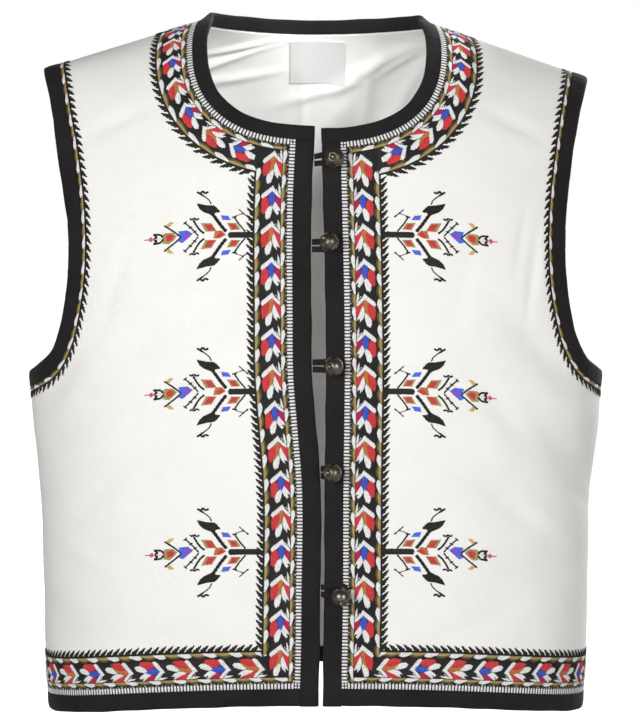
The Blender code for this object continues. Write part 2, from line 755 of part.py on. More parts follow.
def loop_route(height, set_back):
    """The cord's middle line: out of the left edge, round the shank and back."""
    place, normal, across, up = button_frame(height, set_back)
    lift = normal * (SEAM_GAP + CORD_HALF_THICK)
    bend = SHANK_RADIUS + SEAM_GAP + CORD_HALF_WIDTH
    edge = on_cloth(float(edge_across(height, -1)), height)
    start = cloth_point(*edge, BINDING_PROUD - CORD_HALF_THICK) + across * CORD_GAP
    run = float(np.dot(place - start, across))
    slit = run - set_back
    drop = normal * float(np.dot(start - place, normal))
    lower = []
    upper = []
    for slit_part, back_part, raised, spread in LOOP_STATIONS:
        reach = slit_part * slit + back_part * set_back
        middle = place + across * (reach - run) + drop * (1 - raised) + lift * raised
        half = CORD_SPREAD + (bend - CORD_SPREAD) * spread
        lower.append(middle - up * half)
        upper.append(middle + up * half)
    turn = []
    for step in range(CORD_TURN_STEPS + 1):
        angle = math.pi * (step / CORD_TURN_STEPS - 0.5)
        turn.append(place + lift + bend * (across * math.cos(angle) + up * math.sin(angle)))
    return np.array(lower + turn + upper[::-1]), normal, across


def make_loops():
    for number, (height, set_back, _, _) in enumerate(BUTTONS, start=1):
        route, normal, across = loop_route(height, set_back)
        origin = route.mean(axis=0)
        travel = np.gradient(route, axis=0)
        travel[0] = across
        travel[-1] = -across
        points = []
        for place, along in zip(route, travel):
            along = along / np.linalg.norm(along)
            aside = np.cross(along, normal)
            aside /= np.linalg.norm(aside)
            out = np.cross(aside, along)
            for side in range(CORD_SIDES):
                angle = 2 * math.pi * (side + 0.5) / CORD_SIDES
                offset = aside * CORD_HALF_WIDTH * math.cos(angle) + out * CORD_HALF_THICK * math.sin(angle)
                points.append(place + offset - origin)
        faces = swept_faces(len(route), CORD_SIDES, False)
        where = origin - np.array((0.0, 0.0, HOLD_HEIGHT))
        add_piece("loop_%d" % number, points, faces, "cord_cloth", place=where)


def main():
    for leftover in list(bpy.data.objects):
        bpy.data.objects.remove(leftover)
    grids = {"left": front_grid(-1), "right": front_grid(1), "back": back_grid()}
    make_panels(grids)
    make_front_bindings(grids)
    make_hem_bindings(grids)
    make_armhole_bindings(grids)
    make_neck_binding(grids)
    make_label(grids)
    make_buttons()
    make_loops()


main()
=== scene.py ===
# Looks of the embroidered vest: cloth shells, folded bindings, buttons, loops and stitching.
# The cloth's form repeats the frame's own: a point is given by how far round it lies from the
# centre front, along the middle section, and by how far up the cloth it rises from the hem.
import bpy
import math
import numpy as np
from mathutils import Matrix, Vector


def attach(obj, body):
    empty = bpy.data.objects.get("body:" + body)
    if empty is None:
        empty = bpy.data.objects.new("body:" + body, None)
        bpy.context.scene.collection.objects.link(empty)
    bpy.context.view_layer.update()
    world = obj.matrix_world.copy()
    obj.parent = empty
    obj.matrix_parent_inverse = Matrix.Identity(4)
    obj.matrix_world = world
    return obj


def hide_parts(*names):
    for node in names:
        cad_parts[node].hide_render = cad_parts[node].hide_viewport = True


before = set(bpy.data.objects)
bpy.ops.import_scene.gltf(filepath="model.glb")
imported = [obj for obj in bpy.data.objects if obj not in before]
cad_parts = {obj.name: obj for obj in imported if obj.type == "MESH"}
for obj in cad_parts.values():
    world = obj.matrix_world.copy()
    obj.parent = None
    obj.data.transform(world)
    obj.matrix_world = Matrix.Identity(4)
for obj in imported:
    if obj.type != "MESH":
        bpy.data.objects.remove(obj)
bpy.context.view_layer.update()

# Heights are measured from the lowest point of the hem
HOLD_HEIGHT = 0.515
ROOF_START = 0.300          # above this the cloth turns in towards the shoulder seams
RIDGE_TOP = 0.5513          # the shoulder line carried on to the middle
RIDGE_ROUND = 0.030         # rounds it between the two slopes
LEFT_SLOPE = 0.313
RIGHT_SLOPE = 0.350
SECTION_POWER = 2.2         # 2 is an ellipse, more is squarer
ROOF_POWER = 0.86           # less than 1 makes the shoulders rounder

# Body sections: height, half width, depth of the front, depth of the back. Distances round
# the cloth are measured along the middle one.
BODY_SECTIONS = (
    (0.000, 0.2068, 0.1160, 0.1120),
    (0.050, 0.2100, 0.1175, 0.1120),
    (0.105, 0.2112, 0.1190, 0.1125),
    (0.155, 0.2125, 0.1200, 0.1130),
    (0.235, 0.2195, 0.1220, 0.1140),
    (0.300, 0.2230, 0.1210, 0.1140),
)
MIDDLE_SECTION = 3
HEM_LIFT_FRONT = 0.016      # the hem rises towards the centre front
HEM_LIFT_BACK = 0.0205      # and towards the centre back

# Front edges: height, left edge, right edge, both across from the middle
FRONT_EDGES = (
    (0.000, -0.0010, 0.0033),
    (0.045, 0.0009, 0.0036),
    (0.095, 0.0015, 0.0044),
    (0.190, 0.0014, 0.0048),
    (0.225, -0.0015, 0.0053),
    (0.265, -0.0046, 0.0057),
    (0.305, -0.0050, 0.0055),
    (0.400, -0.0046, 0.0036),
    (0.450, -0.0019, 0.0026),
)

# The neck's cut edge: a squarish curve in front, nearly straight behind
NECK_HALF_WIDTH = 0.0935
NECK_WIDEST_HEIGHT = 0.512
NECK_DROP_LEFT = 0.0715
NECK_DROP_RIGHT = 0.0735     # the buttons' side hangs a little lower
NECK_POWER = 2.5
NECK_POINT_ACROSS = 0.0895  # where the neck meets the shoulder seam
BACK_NECK_HEIGHT = 0.5245

# Armhole cut edges: across, height. The top row lies on the shoulder seam.
SHOULDER_TIP_ACROSS = 0.1985
ARMHOLE_BOTTOM_HEIGHT = 0.2505
ARMHOLE_FRONT = (
    (0.1930, 0.470),
    (0.1852, 0.430),
    (0.1795, 0.385),
    (0.1790, 0.345),
    (0.1828, 0.312),
    (0.1900, 0.286),
    (0.2030, 0.264),
)
ARMHOLE_BACK = (
    (0.1960, 0.470),
    (0.1925, 0.430),
    (0.1875, 0.390),
    (0.1845, 0.350),
    (0.1860, 0.315),
    (0.1920, 0.288),
    (0.2040, 0.264),
)

# Folds of the worn cloth: round, height, lean in degrees, half length, half width, depth
FOLDS = (
    (0.205, 0.198, -28.0, 0.050, 0.015, -0.0045),
    (0.215, 0.234, -20.0, 0.040, 0.013, 0.0020),
    (0.168, 0.282, -42.0, 0.042, 0.013, -0.0030),
    (0.170, 0.110, 12.0, 0.060, 0.018, -0.0018),
    (-0.200, 0.262, 48.0, 0.036, 0.013, -0.0028),
    (-0.205, 0.214, 14.0, 0.040, 0.012, -0.0026),
    (-0.215, 0.074, -16.0, 0.045, 0.016, -0.0020),
    (0.345, 0.225, 30.0, 0.052, 0.015, -0.0036),
    (0.330, 0.120, 20.0, 0.045, 0.014, -0.0022),
    (0.470, 0.300, 82.0, 0.070, 0.020, -0.0024),
    (-0.350, 0.235, -34.0, 0.048, 0.014, -0.0034),
    (-0.455, 0.160, -78.0, 0.065, 0.018, -0.0022),
)

# Cloth walls and bindings
PANEL_THICK = 0.0018
LINING_THICK = 0.0012
SEAM_GAP = 0.0003
BINDING_PROUD = 0.0006
NECK_BINDING = 0.0105
FRONT_BINDING = 0.0130
HEM_BINDING = 0.0124
ARMHOLE_BINDING = 0.0120
NECK_STAND_FROM = -0.010    # behind this depth the neck binding starts to stand up
NECK_STAND_TO = 0.020
NECK_STAND = 0.52
LINED_LIFT = -PANEL_THICK - SEAM_GAP - LINING_THICK

# Label at the back of the neck
LABEL_HALF_WIDTH = 0.0210
LABEL_HEIGHT = 0.0385
LABEL_DROP = 0.0055         # below the neck's cut edge
LABEL_ASIDE = 0.0025        # from the centre back, towards +X
LABEL_THICK = 0.0007
LABEL_COLUMNS = 17
LABEL_ROWS = 11
LABEL_BELLY = 0.0006        # how far its middle stands off the lining
LABEL_BELLY_POWER = 4       # more is flatter in the middle
LABEL_BELLY_FROM = 0.15     # the belly's sine, at the lower end and at the upper one
LABEL_BELLY_TO = 3.0

# Ball buttons: height, set back from the right edge, tilt and its direction in degrees
BUTTONS = (
    (0.4247, 0.0098, 15.0, 220.0),
    (0.3610, 0.0068, 36.0, 152.0),
    (0.2716, 0.0083, 26.0, 180.0),
    (0.1922, 0.0083, 28.0, 166.0),
    (0.1034, 0.0118, 29.0, 270.0),
)
BUTTON_RADIUS = 0.00725
BALL_FOOT = math.radians(-68.0)     # the latitude at which the ball meets its shank
SHANK_RADIUS = 0.0017
SHANK_LENGTH = 0.0049
TIP_RADIUS = 0.0021
TIP_STAND = 0.45            # of the tip's centre above the ball, as part of its radius
BALL_SIDES = 40
BALL_ROWS = 24
TIP_SIDES = 24
TIP_ROWS = 16
SHANK_SIDES = 16
RING_STEPS = 36
WIRE_SIDES = 8
# Rings on a button: place along its axis as part of the ball's radius, radius, wire's radius.
# They are the seam of the two halves, the collar, the tip's foot and the shank's foot.
BUTTON_RINGS = (
    (0.0, BUTTON_RADIUS - 0.00005, 0.00028),
    (0.925, BUTTON_RADIUS * 0.40, 0.00050),
    (0.99, TIP_RADIUS * 0.86, 0.00036),
    (-0.925, BUTTON_RADIUS * 0.36, 0.00040),
)
SHARP_ANGLE = math.radians(50.0)

# Cord loops: a flattened cord that leaves the left edge and passes round a shank
CORD_HALF_WIDTH = 0.0022
CORD_HALF_THICK = 0.0013
CORD_SPREAD = 0.0027        # half the distance between its two runs at the left edge
CORD_TURN_STEPS = 6
CORD_GAP = 0.0006           # between a cord's end and the left edge
CORD_SAMPLES = 64
CORD_SIDES = 16
CORD_POWER = 0.8            # less than 1 makes the cord's two edges blunter
SEAM_DENT = 0.35            # of the seam along its face, as part of its thickness
SEAM_HALF_WIDTH = 0.22      # as part of the cord's

# A loop's way to its button: part of the slit, part of the button's set-back, how far the
# cord has risen on to the right binding, and how far its runs have spread round the shank
LOOP_STATIONS = (
    (0.00, 0.0, 0.00, 0.00),
    (0.45, 0.0, 0.35, 0.05),
    (0.85, 0.0, 0.92, 0.20),
    (1.00, 0.3, 1.00, 0.55),
    (1.00, 0.7, 1.00, 0.90),
)

# Grid steps of the shown cloth, in step with the frame's own
SIDE_STEPS = 63
ARMHOLE_STEPS = 153
EDGE_STEPS = 126
NECK_STEPS = 90
HALF_COLUMNS = 84
SHOULDER_COLUMNS = 35
CURVE_SAMPLES = 1200
UPPER_SAMPLES = 300         # of the neck's short upper stretch
TURN_SAMPLES = 721
NORMAL_STEP = 0.002

# Smaller creases: round, height, lean in degrees, half length, half width, depth
CREASES = (
    (-0.168, 0.176, 34.0, 0.030, 0.0080, -0.0018),
    (-0.120, 0.205, 62.0, 0.034, 0.0090, -0.0013),
    (-0.185, 0.125, -20.0, 0.026, 0.0075, 0.0014),
    (-0.135, 0.064, 8.0, 0.036, 0.0090, -0.0014),
    (-0.150, 0.330, 72.0, 0.030, 0.0075, -0.0014),
    (-0.118, 0.300, 58.0, 0.030, 0.0085, -0.0012),
    (-0.150, 0.470, 30.0, 0.030, 0.0090, -0.0015),
    (-0.090, 0.395, 84.0, 0.030, 0.0080, -0.0009),
    (0.150, 0.164, -36.0, 0.034, 0.0085, -0.0022),
    (0.190, 0.150, -14.0, 0.028, 0.0075, 0.0018),
    (0.225, 0.168, -24.0, 0.030, 0.0070, -0.0020),
    (0.140, 0.232, -50.0, 0.030, 0.0080, -0.0018),
    (0.158, 0.330, 84.0, 0.026, 0.0040, -0.0011),
    (0.168, 0.352, 88.0, 0.024, 0.0038, 0.0010),
    (0.150, 0.366, 80.0, 0.022, 0.0042, -0.0010),
    (0.130, 0.078, 22.0, 0.032, 0.0080, -0.0014),
    (0.185, 0.066, -8.0, 0.030, 0.0080, 0.0011),
    (0.145, 0.470, -30.0, 0.028, 0.0085, -0.0015),
    (0.105, 0.330, 76.0, 0.030, 0.0075, -0.0010),
    (0.300, 0.190, 40.0, 0.036, 0.0090, -0.0020),
    (0.372, 0.262, 56.0, 0.040, 0.0085, -0.0018),
    (0.405, 0.140, 70.0, 0.034, 0.0090, 0.0014),
    (0.430, 0.215, 88.0, 0.048, 0.0095, -0.0017),
    (0.330, 0.065, 16.0, 0.034, 0.0080, -0.0014),
    (0.505, 0.190, 84.0, 0.044, 0.0085, -0.0015),
    (0.525, 0.095, 78.0, 0.036, 0.0090, -0.0014),
    (-0.405, 0.250, -64.0, 0.042, 0.0085, -0.0018),
    (-0.310, 0.180, -36.0, 0.038, 0.0090, -0.0020),
    (-0.365, 0.120, -58.0, 0.034, 0.0085, 0.0014),
    (-0.330, 0.068, -20.0, 0.036, 0.0085, -0.0014),
    (-0.430, 0.085, -72.0, 0.034, 0.0090, -0.0015),
    (0.360, 0.395, 62.0, 0.034, 0.0085, -0.0016),
    (-0.365, 0.400, -58.0, 0.036, 0.0085, -0.0016),
    (0.470, 0.430, 20.0, 0.040, 0.0095, -0.0014),
)

# Softer folds of the lining alone, which hangs slack between neck and hem: the same columns
LINING_CREASES = (
    (0.492, 0.536, -52.0, 0.044, 0.0068, 0.0050),
    (0.476, 0.540, -56.0, 0.026, 0.0042, 0.0030),
    (0.496, 0.498, -86.0, 0.036, 0.0055, 0.0036),
    (0.466, 0.505, -72.0, 0.045, 0.0060, 0.0034),
    (0.532, 0.500, -24.0, 0.030, 0.0060, 0.0030),
    (0.545, 0.470, 90.0, 0.050, 0.0035, 0.0016),
    (0.596, 0.566, -12.0, 0.026, 0.0036, 0.0028),
    (0.604, 0.549, -22.0, 0.030, 0.0042, 0.0034),
    (0.628, 0.536, -16.0, 0.026, 0.0045, 0.0030),
    (0.600, 0.520, -10.0, 0.034, 0.0058, 0.0026),
    (0.575, 0.405, 66.0, 0.046, 0.0100, 0.0034),
    (0.520, 0.380, -70.0, 0.050, 0.0110, 0.0036),
    (0.470, 0.330, -60.0, 0.060, 0.0120, 0.0036),
    (0.620, 0.320, 58.0, 0.056, 0.0120, 0.0036),
    (0.545, 0.230, 80.0, 0.070, 0.0130, 0.0034),
    (0.440, 0.180, -50.0, 0.060, 0.0120, 0.0036),
    (0.650, 0.170, 48.0, 0.060, 0.0120, 0.0036),
)

# Folded bands: their cloth, how unevenly they lie, and the lengths of those waves
BAND_THICK = 0.0008
BAND_LAP = 0.0009           # how far a band's edge laps over the panel
BAND_BULGE = 0.4            # of the outer face, as part of the cloth's thickness
BAND_WAVER = 0.0003
BAND_PUCKER = 0.00022
WAVER_LENGTHS = (0.031, 0.047, 0.083)
PUCKER_LENGTHS = (0.0062, 0.0093, 0.0171)
FRONT_BAND_SEED = 10
ARMHOLE_BAND_SEED = 20
HEM_BAND_SEED = 30
NECK_BAND_SEED = 40
FOLD_STEPS = 8
FOOT_STEPS = 6              # where a band runs on past its panel's corner
# A band's section: its lapped edges, as parts of the lap and of the cloth's thickness, and
# the places marked on its outer and inner face, as parts of its width
OUTER_LAP = ((1.0, -0.6), (0.6, 0.2))
OUTER_MARKS = (0.04, 0.16, 0.38, 0.62)
INNER_MARKS = (0.62, 0.30, 0.04)
INNER_LAP = (0.4, 0.4)

# The stitched border, by distance from the panel's cut edge
LADDER = (0.0010, 0.0052)
FLECKS = (0.0055, 0.0062)
OUTER_ROPE = (0.0064, 0.0095)
CORE = (0.0099, 0.0248)
INNER_ROPE = (0.0252, 0.0290)
BORDER_GROUND = (0.0002, 0.0306)
TEETH = (0.0302, 0.0352)
ARMHOLE_ROPE = (0.0016, 0.0043)
ARMHOLE_GROUND = (0.0002, 0.0060)
ARMHOLE_TEETH = (0.0056, 0.0100)
ARMHOLE_TOOTH_PITCH = 0.0062
GROUND_LIFT = 0.00022
LADDER_PITCH = 0.00252
LADDER_WIDTH = 0.00155
CORNER_HALF = 0.00080        # of the ladders' four small corner squares
CORNER_STEP = 0.00115
ROPE_PITCH = 0.00090
ROPE_SLANT = 0.0022
ROPE_GOLD = 0.0104          # length of a rope's gold stretch, and of its white one
ROPE_WHITE = 0.0088
ROPE_FULL = 0.90            # of a white stretch, where it is widest
ROPE_THIN = 0.52            # part of its full width at the start of a stretch
ROPE_SHADE = 0.40           # part of a gold stretch's width that is painted shade, a darker copy of the gold thread
ROPE_START = 0.1            # how far into its swelling a stretch starts
TOOTH_PITCH = 0.0054
TOOTH_LEAN = 0.0040
TOOTH_WIDTH = 0.0011
TOOTH_UNEVEN = 0.07
# A barb's stitches: offset along the edge, and length as part of the longest
TOOTH_STITCHES = (
    (-0.0012, 1.00),
    (-0.0003, 0.88),
    (0.0006, 0.66),
    (0.0015, 0.46),
)
FLECK_PITCH = 0.0034
FLECK_LENGTH = 0.0009
FLECK_WIDTH = 0.0006
FLECK_UNEVEN = 0.3          # as part of their pitch
FLECK_COLOURS = ("white", "gold", "gold")
MOTIF_PITCH = 0.0269
NECK_MOTIF_PITCH = 0.0192   # along the neck's cut edge, which is shorter than the core
HEM_MOTIF_PITCH = 0.0243
FIGURE_WIDTH = 15.2         # of the charted figures, in millimetres
FIGURE_LEAD = 0.0022        # along the travel, before the first one
FIGURE_LEAN = 90.0          # their stitches' direction in degrees
FIGURE_LAYER = 1.4          # how many layers they lie above the core's ground
FIGURE_GROWTH = 1.07        # so that neighbouring shapes meet
CORE_SLANT = 0.0040         # of the core's black stitches
NECK_CORE_SHORT = 0.0020    # how far before the front's core the neck's own stops
FRONT_CORE_EARLY = 0.0010   # how far before the neck's core the front's own starts

# Single stitches, and how they lie on the cloth
MILLIMETRES = 1000.0        # in a metre
FILL_PITCH = 0.00082
FINE_PITCH = 0.00055
LONGEST_STITCH = 0.0075
LINE_STITCH = 0.0026
STITCH_ENDS = 0.00012       # how unevenly a filled shape's stitches end
STITCH_OVERLAP = 1.16
STITCH_APART = 0.0037       # from one stitch to the next in the thread's own pattern
STITCH_HEIGHT = 0.00050     # of the widest stitches
STITCH_ROUND = 0.45         # a narrow stitch's height as part of its width
STITCH_EDGE = 0.30          # height at its two edges, as part of the crest's
STITCH_SIDES = (-1.0, 0.0, 1.0)
# Along a stitch: part of its length, part of its height, part of its width
STITCH_STATIONS = (
    (0.00, 0.05, 0.70),
    (0.16, 0.90, 1.00),
    (0.84, 0.90, 1.00),
    (1.00, 0.05, 0.70),
)
SHORTEST_STITCH = 1e-6      # so that no stitch is divided by nothing
LAYER_LIFT = 0.00022        # between stitches worked over one another
GROUND_RIM = 0.1            # the ground's lift at its rim, as part of its whole lift
RUN_STEP = 0.0018           # between the places measured along an edge and in from it
SEED = 7

# Thread colours, in the order of the stitched pieces' material slots
THREADS = {
    "white": (0.93, 0.92, 0.89),
    "black": (0.012, 0.011, 0.011),
    "gold": (0.43, 0.31, 0.115),
    "shaded_gold": (0.115, 0.088, 0.026),
    "red": (0.66, 0.040, 0.048),
    "crimson": (0.47, 0.012, 0.085),
    "orange": (0.56, 0.180, 0.045),
    "blue": (0.045, 0.095, 0.56),
    "sky": (0.085, 0.150, 0.80),
    "magenta": (0.50, 0.045, 0.42),
    "yellow": (0.74, 0.47, 0.13),
    "pink": (0.74, 0.10, 0.155),
}

# The border's two figures, in millimetres: along the travel, and out from the field side
FIGURE_ROOF = (
    (0.0, 8.9), (3.2, 10.9), (5.2, 13.0), (7.4, 15.1), (8.8, 14.4), (7.6, 12.3), (6.0, 10.6),
    (3.9, 8.6), (5.4, 6.7), (7.6, 4.6), (9.4, 1.7), (7.9, 0.4), (6.0, 1.4), (3.2, 4.9),
)
FIGURE_HOOK = ((-1.8, 13.2), (0.6, 14.4), (4.6, 15.0), (6.4, 14.9), (4.6, 13.5), (1.2, 13.1))
FIGURE_LEG = (
    (14.6, 8.0), (17.0, 4.9), (20.0, 3.6), (23.3, 3.6), (24.8, 4.8), (23.8, 7.0), (20.4, 8.2),
    (16.7, 8.9),
)
FIGURE_RED = (
    ("white", FIGURE_ROOF),
    ("white", FIGURE_HOOK),
    ("white", ((2.2, 11.6), (1.5, 11.4), (2.6, 13.2), (3.4, 13.2))),
    ("red", ((9.4, 1.5), (7.0, 5.6), (8.4, 6.4), (12.0, 6.0), (16.2, 4.4), (18.4, 2.9),
             (19.4, 1.5), (16.5, 0.7), (12.5, 0.4))),
    ("orange", ((4.4, 8.6), (6.0, 6.3), (7.2, 6.0), (8.6, 6.6), (12.2, 6.2), (16.4, 4.6),
                (18.0, 3.4), (17.0, 6.3), (13.2, 8.5), (8.6, 9.4), (6.2, 9.9))),
    ("red", ((5.4, 10.2), (8.4, 12.6), (9.3, 15.1), (14.0, 15.0), (17.6, 14.6), (14.6, 13.0),
             (11.4, 11.4), (9.6, 9.9), (8.6, 9.6))),
    ("white", ((8.6, 10.2), (10.6, 11.4), (13.3, 12.3), (16.2, 13.6), (19.4, 14.8), (18.0, 12.4),
               (20.8, 12.6), (18.4, 10.2), (14.6, 8.9), (11.4, 9.3))),
    ("white", FIGURE_LEG),
)
FIGURE_BLUE = (
    ("white", FIGURE_ROOF),
    ("white", FIGURE_HOOK),
    ("white", ((3.0, 11.4), (2.3, 11.2), (3.4, 13.2), (4.2, 13.2))),
    ("red", ((9.5, 1.2), (7.9, 4.4), (11.6, 5.9), (15.2, 6.6), (17.4, 5.2), (19.0, 3.9),
             (20.6, 2.6), (19.6, 0.6), (13.3, 0.4))),
    ("blue", ((4.2, 8.5), (6.2, 6.2), (9.6, 5.7), (13.7, 7.0), (15.6, 8.4), (13.6, 10.2),
              (9.3, 10.7), (6.0, 10.0))),
    ("crimson", ((7.4, 11.4), (8.9, 13.0), (9.0, 15.1), (13.6, 15.0), (16.4, 14.4), (12.4, 11.4),
                 (9.6, 10.9))),
    ("white", ((12.0, 10.9), (15.0, 9.0), (17.1, 9.5), (19.3, 10.8), (21.4, 12.6), (20.2, 13.9),
               (18.2, 12.7), (18.8, 15.0), (16.9, 14.5), (14.5, 12.8))),
    ("white", FIGURE_LEG),
)

# Sprigs on the fronts: height of the trunk, and how far the tip droops
SPRIG_HEIGHTS = (0.3690, 0.2525, 0.1325)
SPRIG_ROOT_LEFT = 0.0440
SPRIG_ROOT_RIGHT = 0.0488
SPRIG_DROOP_LEFT = 0.0045
SPRIG_DROOP_RIGHT = 0.0068
SPRIG_DROOP_UNEVEN = 0.0010
SPRIG_LENGTH = 0.0850
# Their shapes in millimetres: colour, whether repeated below the middle line, layer, outline
# as out from the trunk's root and up, and the stitches' direction in degrees
SPRIG_FILLS = (
    ("black", False, 0, ((-1.0, -2.2), (-1.0, 2.2), (22.2, 2.2), (23.2, 0.0), (22.2, -2.2)), 90.0),
    ("black", True, 0, ((34.2, 14.6), (32.4, 16.8), (28.8, 17.2), (31.0, 20.4), (33.6, 22.4), (39.0, 22.8),
                        (46.4, 24.6), (44.4, 20.4), (41.6, 17.8), (37.2, 16.0)), 62.0),
    ("gold", True, 0, ((13.8, 3.9), (17.0, 8.7), (23.9, 9.2), (20.8, 3.6)), 90.0),
    ("red", True, 1, ((15.6, 4.4), (17.9, 7.9), (21.9, 8.2), (19.8, 4.2)), 90.0),
    ("sky", True, 0, ((20.8, 11.0), (23.2, 14.4), (28.3, 14.9), (27.0, 11.3)), 90.0),
    ("gold", True, 0, ((31.6, 3.2), (35.4, 9.2), (43.4, 9.8), (39.6, 3.0)), 90.0),
    ("red", True, 1, ((32.6, 3.7), (35.7, 8.3), (40.6, 8.7), (37.8, 3.7)), 90.0),
    ("orange", False, 0, ((24.8, 0.4), (28.0, 3.6), (32.6, 3.2), (34.0, -2.2), (29.4, -2.2)), 90.0),
    ("red", False, 1, ((26.0, 0.4), (28.2, 2.4), (30.6, 1.0), (31.6, -1.7), (29.2, -1.5)), 90.0),
    ("sky", False, 0, ((49.4, 2.0), (53.4, 4.9), (60.2, 4.6), (58.9, 0.4), (60.4, -2.8), (57.2, -4.4),
                       (52.6, -0.8)), 90.0),
    ("magenta", False, 1, ((51.4, 1.4), (53.8, 3.0), (55.8, 0.6), (54.4, -1.2)), 90.0),
    ("yellow", True, 0, ((63.6, 11.4), (66.8, 11.8), (70.0, 9.0), (67.0, 8.2)), 60.0),
    ("gold", False, 0, ((61.4, 1.0), (64.4, 3.8), (70.2, 3.9), (72.6, 2.2), (71.0, -0.6), (71.8, -3.9),
                        (67.0, -4.4), (63.4, -1.6)), 90.0),
    ("red", False, 1, ((63.2, 1.2), (66.0, 2.9), (69.2, 1.4), (68.4, -2.6), (65.2, -1.8)), 90.0),
    ("pink", False, 0, ((78.6, 0.0), (80.6, 2.0), (82.8, 0.0), (80.6, -2.0)), 90.0),
)
# Stitched lines: colour, whether repeated below, width, and the places they pass
SPRIG_LINES = (
    ("black", True, 2.5, ((24.4, 2.6), (28.4, 7.4), (31.8, 12.2), (35.0, 16.6))),
    ("black", True, 1.2, ((10.2, 2.4), (14.8, 7.8), (18.1, 12.7))),
    ("black", True, 1.2, ((16.6, 13.4), (20.0, 13.0))),
    ("black", True, 0.6, ((18.0, 13.8), (11.9, 15.8))),
    ("black", True, 0.8, ((8.4, 13.2), (15.0, 18.9))),
    ("black", True, 1.2, ((8.0, 13.0), (9.4, 14.2))),
    ("black", True, 1.2, ((11.2, 15.4), (12.6, 16.6))),
    ("black", True, 0.9, ((35.6, 23.2), (36.8, 26.2), (39.8, 28.8), (43.2, 30.9))),
    ("black", True, 1.5, ((37.6, 32.6), (40.2, 31.6), (42.0, 33.6), (43.6, 31.6), (46.4, 33.0))),
    ("black", True, 1.4, ((41.4, 30.0), (44.6, 31.8))),
    ("black", True, 1.5, ((40.8, 1.9), (44.0, 4.4), (46.6, 8.0), (49.0, 12.2))),
    ("black", True, 1.3, ((44.6, 13.2), (46.8, 12.2), (48.4, 13.8), (50.2, 12.4), (51.8, 13.6))),
    ("black", True, 1.1, ((45.2, 0.3), (48.6, 4.2), (51.8, 7.4), (55.6, 10.9))),
    ("black", True, 1.0, ((46.6, 4.2), (49.2, 3.0))),
    ("black", True, 1.0, ((49.8, 7.6), (52.4, 6.2))),
    ("black", True, 1.0, ((54.0, 11.6), (56.4, 9.6))),
    ("black", True, 1.3, ((58.2, 0.2), (63.4, 4.4), (70.8, 9.6))),
    ("black", True, 1.5, ((71.2, 0.4), (73.4, 3.0), (76.4, 3.4), (79.0, 3.4))),
    ("black", True, 1.4, ((78.2, 3.2), (76.0, 1.3), (78.4, 0.5))),
    ("white", False, 1.5, ((73.2, 0.0), (76.0, 0.1))),
    ("pink", False, 0.8, ((82.4, 0.0), (85.8, 0.2))),
)

# Looks of the surfaces. Gloss is the shader's specular level, and a span is the stretch of a
# pattern's values that runs from one tone to the other.
CLOTH_GLOSS = 0.15
# Woven cloths: light tone, dark tone, threads in a metre, the weave's relief, roughness, sheen
# The dark tone is also painted into the weave's hollows, as shade between the threads
CLOTHS = {
    "ivory_weave": ((0.91, 0.90, 0.865), (0.875, 0.862, 0.824), 900.0, 0.00007, 0.85, 0.08),
    "lining_weave": ((0.92, 0.915, 0.895), (0.85, 0.845, 0.82), 1500.0, 0.00005, 0.60, 0.10),
    "binding_weave": ((0.018, 0.0155, 0.0165), (0.010, 0.0085, 0.009), 1100.0, 0.00012, 0.80, 0.05),
    "cord_weave": ((0.016, 0.014, 0.015), (0.009, 0.008, 0.009), 1400.0, 0.00008, 0.70, 0.05),
    "label_weave": ((0.715, 0.715, 0.71), (0.68, 0.68, 0.675), 2200.0, 0.00004, 0.50, 0.05),
}
WANDER_SCALE = 90.0         # the threads don't run quite straight
WANDER = 2.0
SLUB_SCALE = 420.0          # thick places in the threads
SLUB_DETAIL = 3.0
CROSSING_HEIGHT = 0.5       # of a thread where it passes over another
CLOTH_TONE_SCALE = 26.0
CLOTH_TONE_DETAIL = 4.0
CLOTH_TONE_SPAN = (0.35, 0.70)
CREST_SPAN = (0.0, 1.2)     # heights of the weave, from its hollows to its crests
SHADED_HOLLOW_TONE = 0.80          # painted shade: how much of its own tone the cloth keeps between its threads
THREAD_GLOSS = 0.30
THREAD_ROUGHNESS = 0.48
THREAD_SHEEN = 0.03
THREAD_RELIEF = 0.00004
STRANDS_ACROSS = 2600.0     # in a metre
STRANDS_TWIST = 900.0       # turns in a metre
THREAD_TONE_SCALE = 700.0
THREAD_TONE_SPAN = (0.30, 0.68)
THREAD_DEEP = 0.72          # of a thread's own colour
THREAD_BRIGHT = 1.14
BRIGHTEST = 0.96            # that any thread may be
SILVER_DARK = (0.115, 0.100, 0.080)
SILVER_LIGHT = (0.26, 0.230, 0.185)
SILVER_DULL = 0.36          # roughness where it is tarnished, and where it is rubbed
SILVER_RUBBED = 0.24
SILVER_RELIEF = 0.00002
TARNISH_SCALE = 260.0
TARNISH_DETAIL = 3.0
TARNISH_TONE_SPAN = (0.30, 0.72)
TARNISH_ROUGH_SPAN = (0.3, 0.7)
SCRATCH_SCALE = 700.0

# Floor, lights and camera
FLOOR_HEIGHT = -0.555
FLOOR_WIDTH = 28.0
FLOOR_TONES = ((0.62, 0.62, 0.62), (0.66, 0.66, 0.66))
FLOOR_TONE_SCALE = 1.5
FLOOR_ROUGHNESS = 0.9
FLOOR_GLOW = 1.0            # seen by the camera alone, so that the floor is pale in the shade too
CAMERA_DISTANCE = 3.0
CAMERA_ELEVATION = 3.0
CAMERA_AZIMUTH = -0.9
CAMERA_SPAN = 0.496         # how wide a stretch it sees at that distance
CAMERA_CENTRE = 0.2685      # the height that lies at the image's middle
CAMERA_ASIDE = 0.0032
SENSOR_WIDTH = 36.0
# Lights: name, place, width, height, watts
LIGHTS = (
    ("key", (-1.2, -2.7, 0.3), 1.0, 1.0, 56.0),
    ("fill", (1.6, -2.4, 0.1), 1.4, 1.4, 24.0),
    ("back", (1.6, 2.0, 0.9), 1.2, 1.2, 56.0),
)
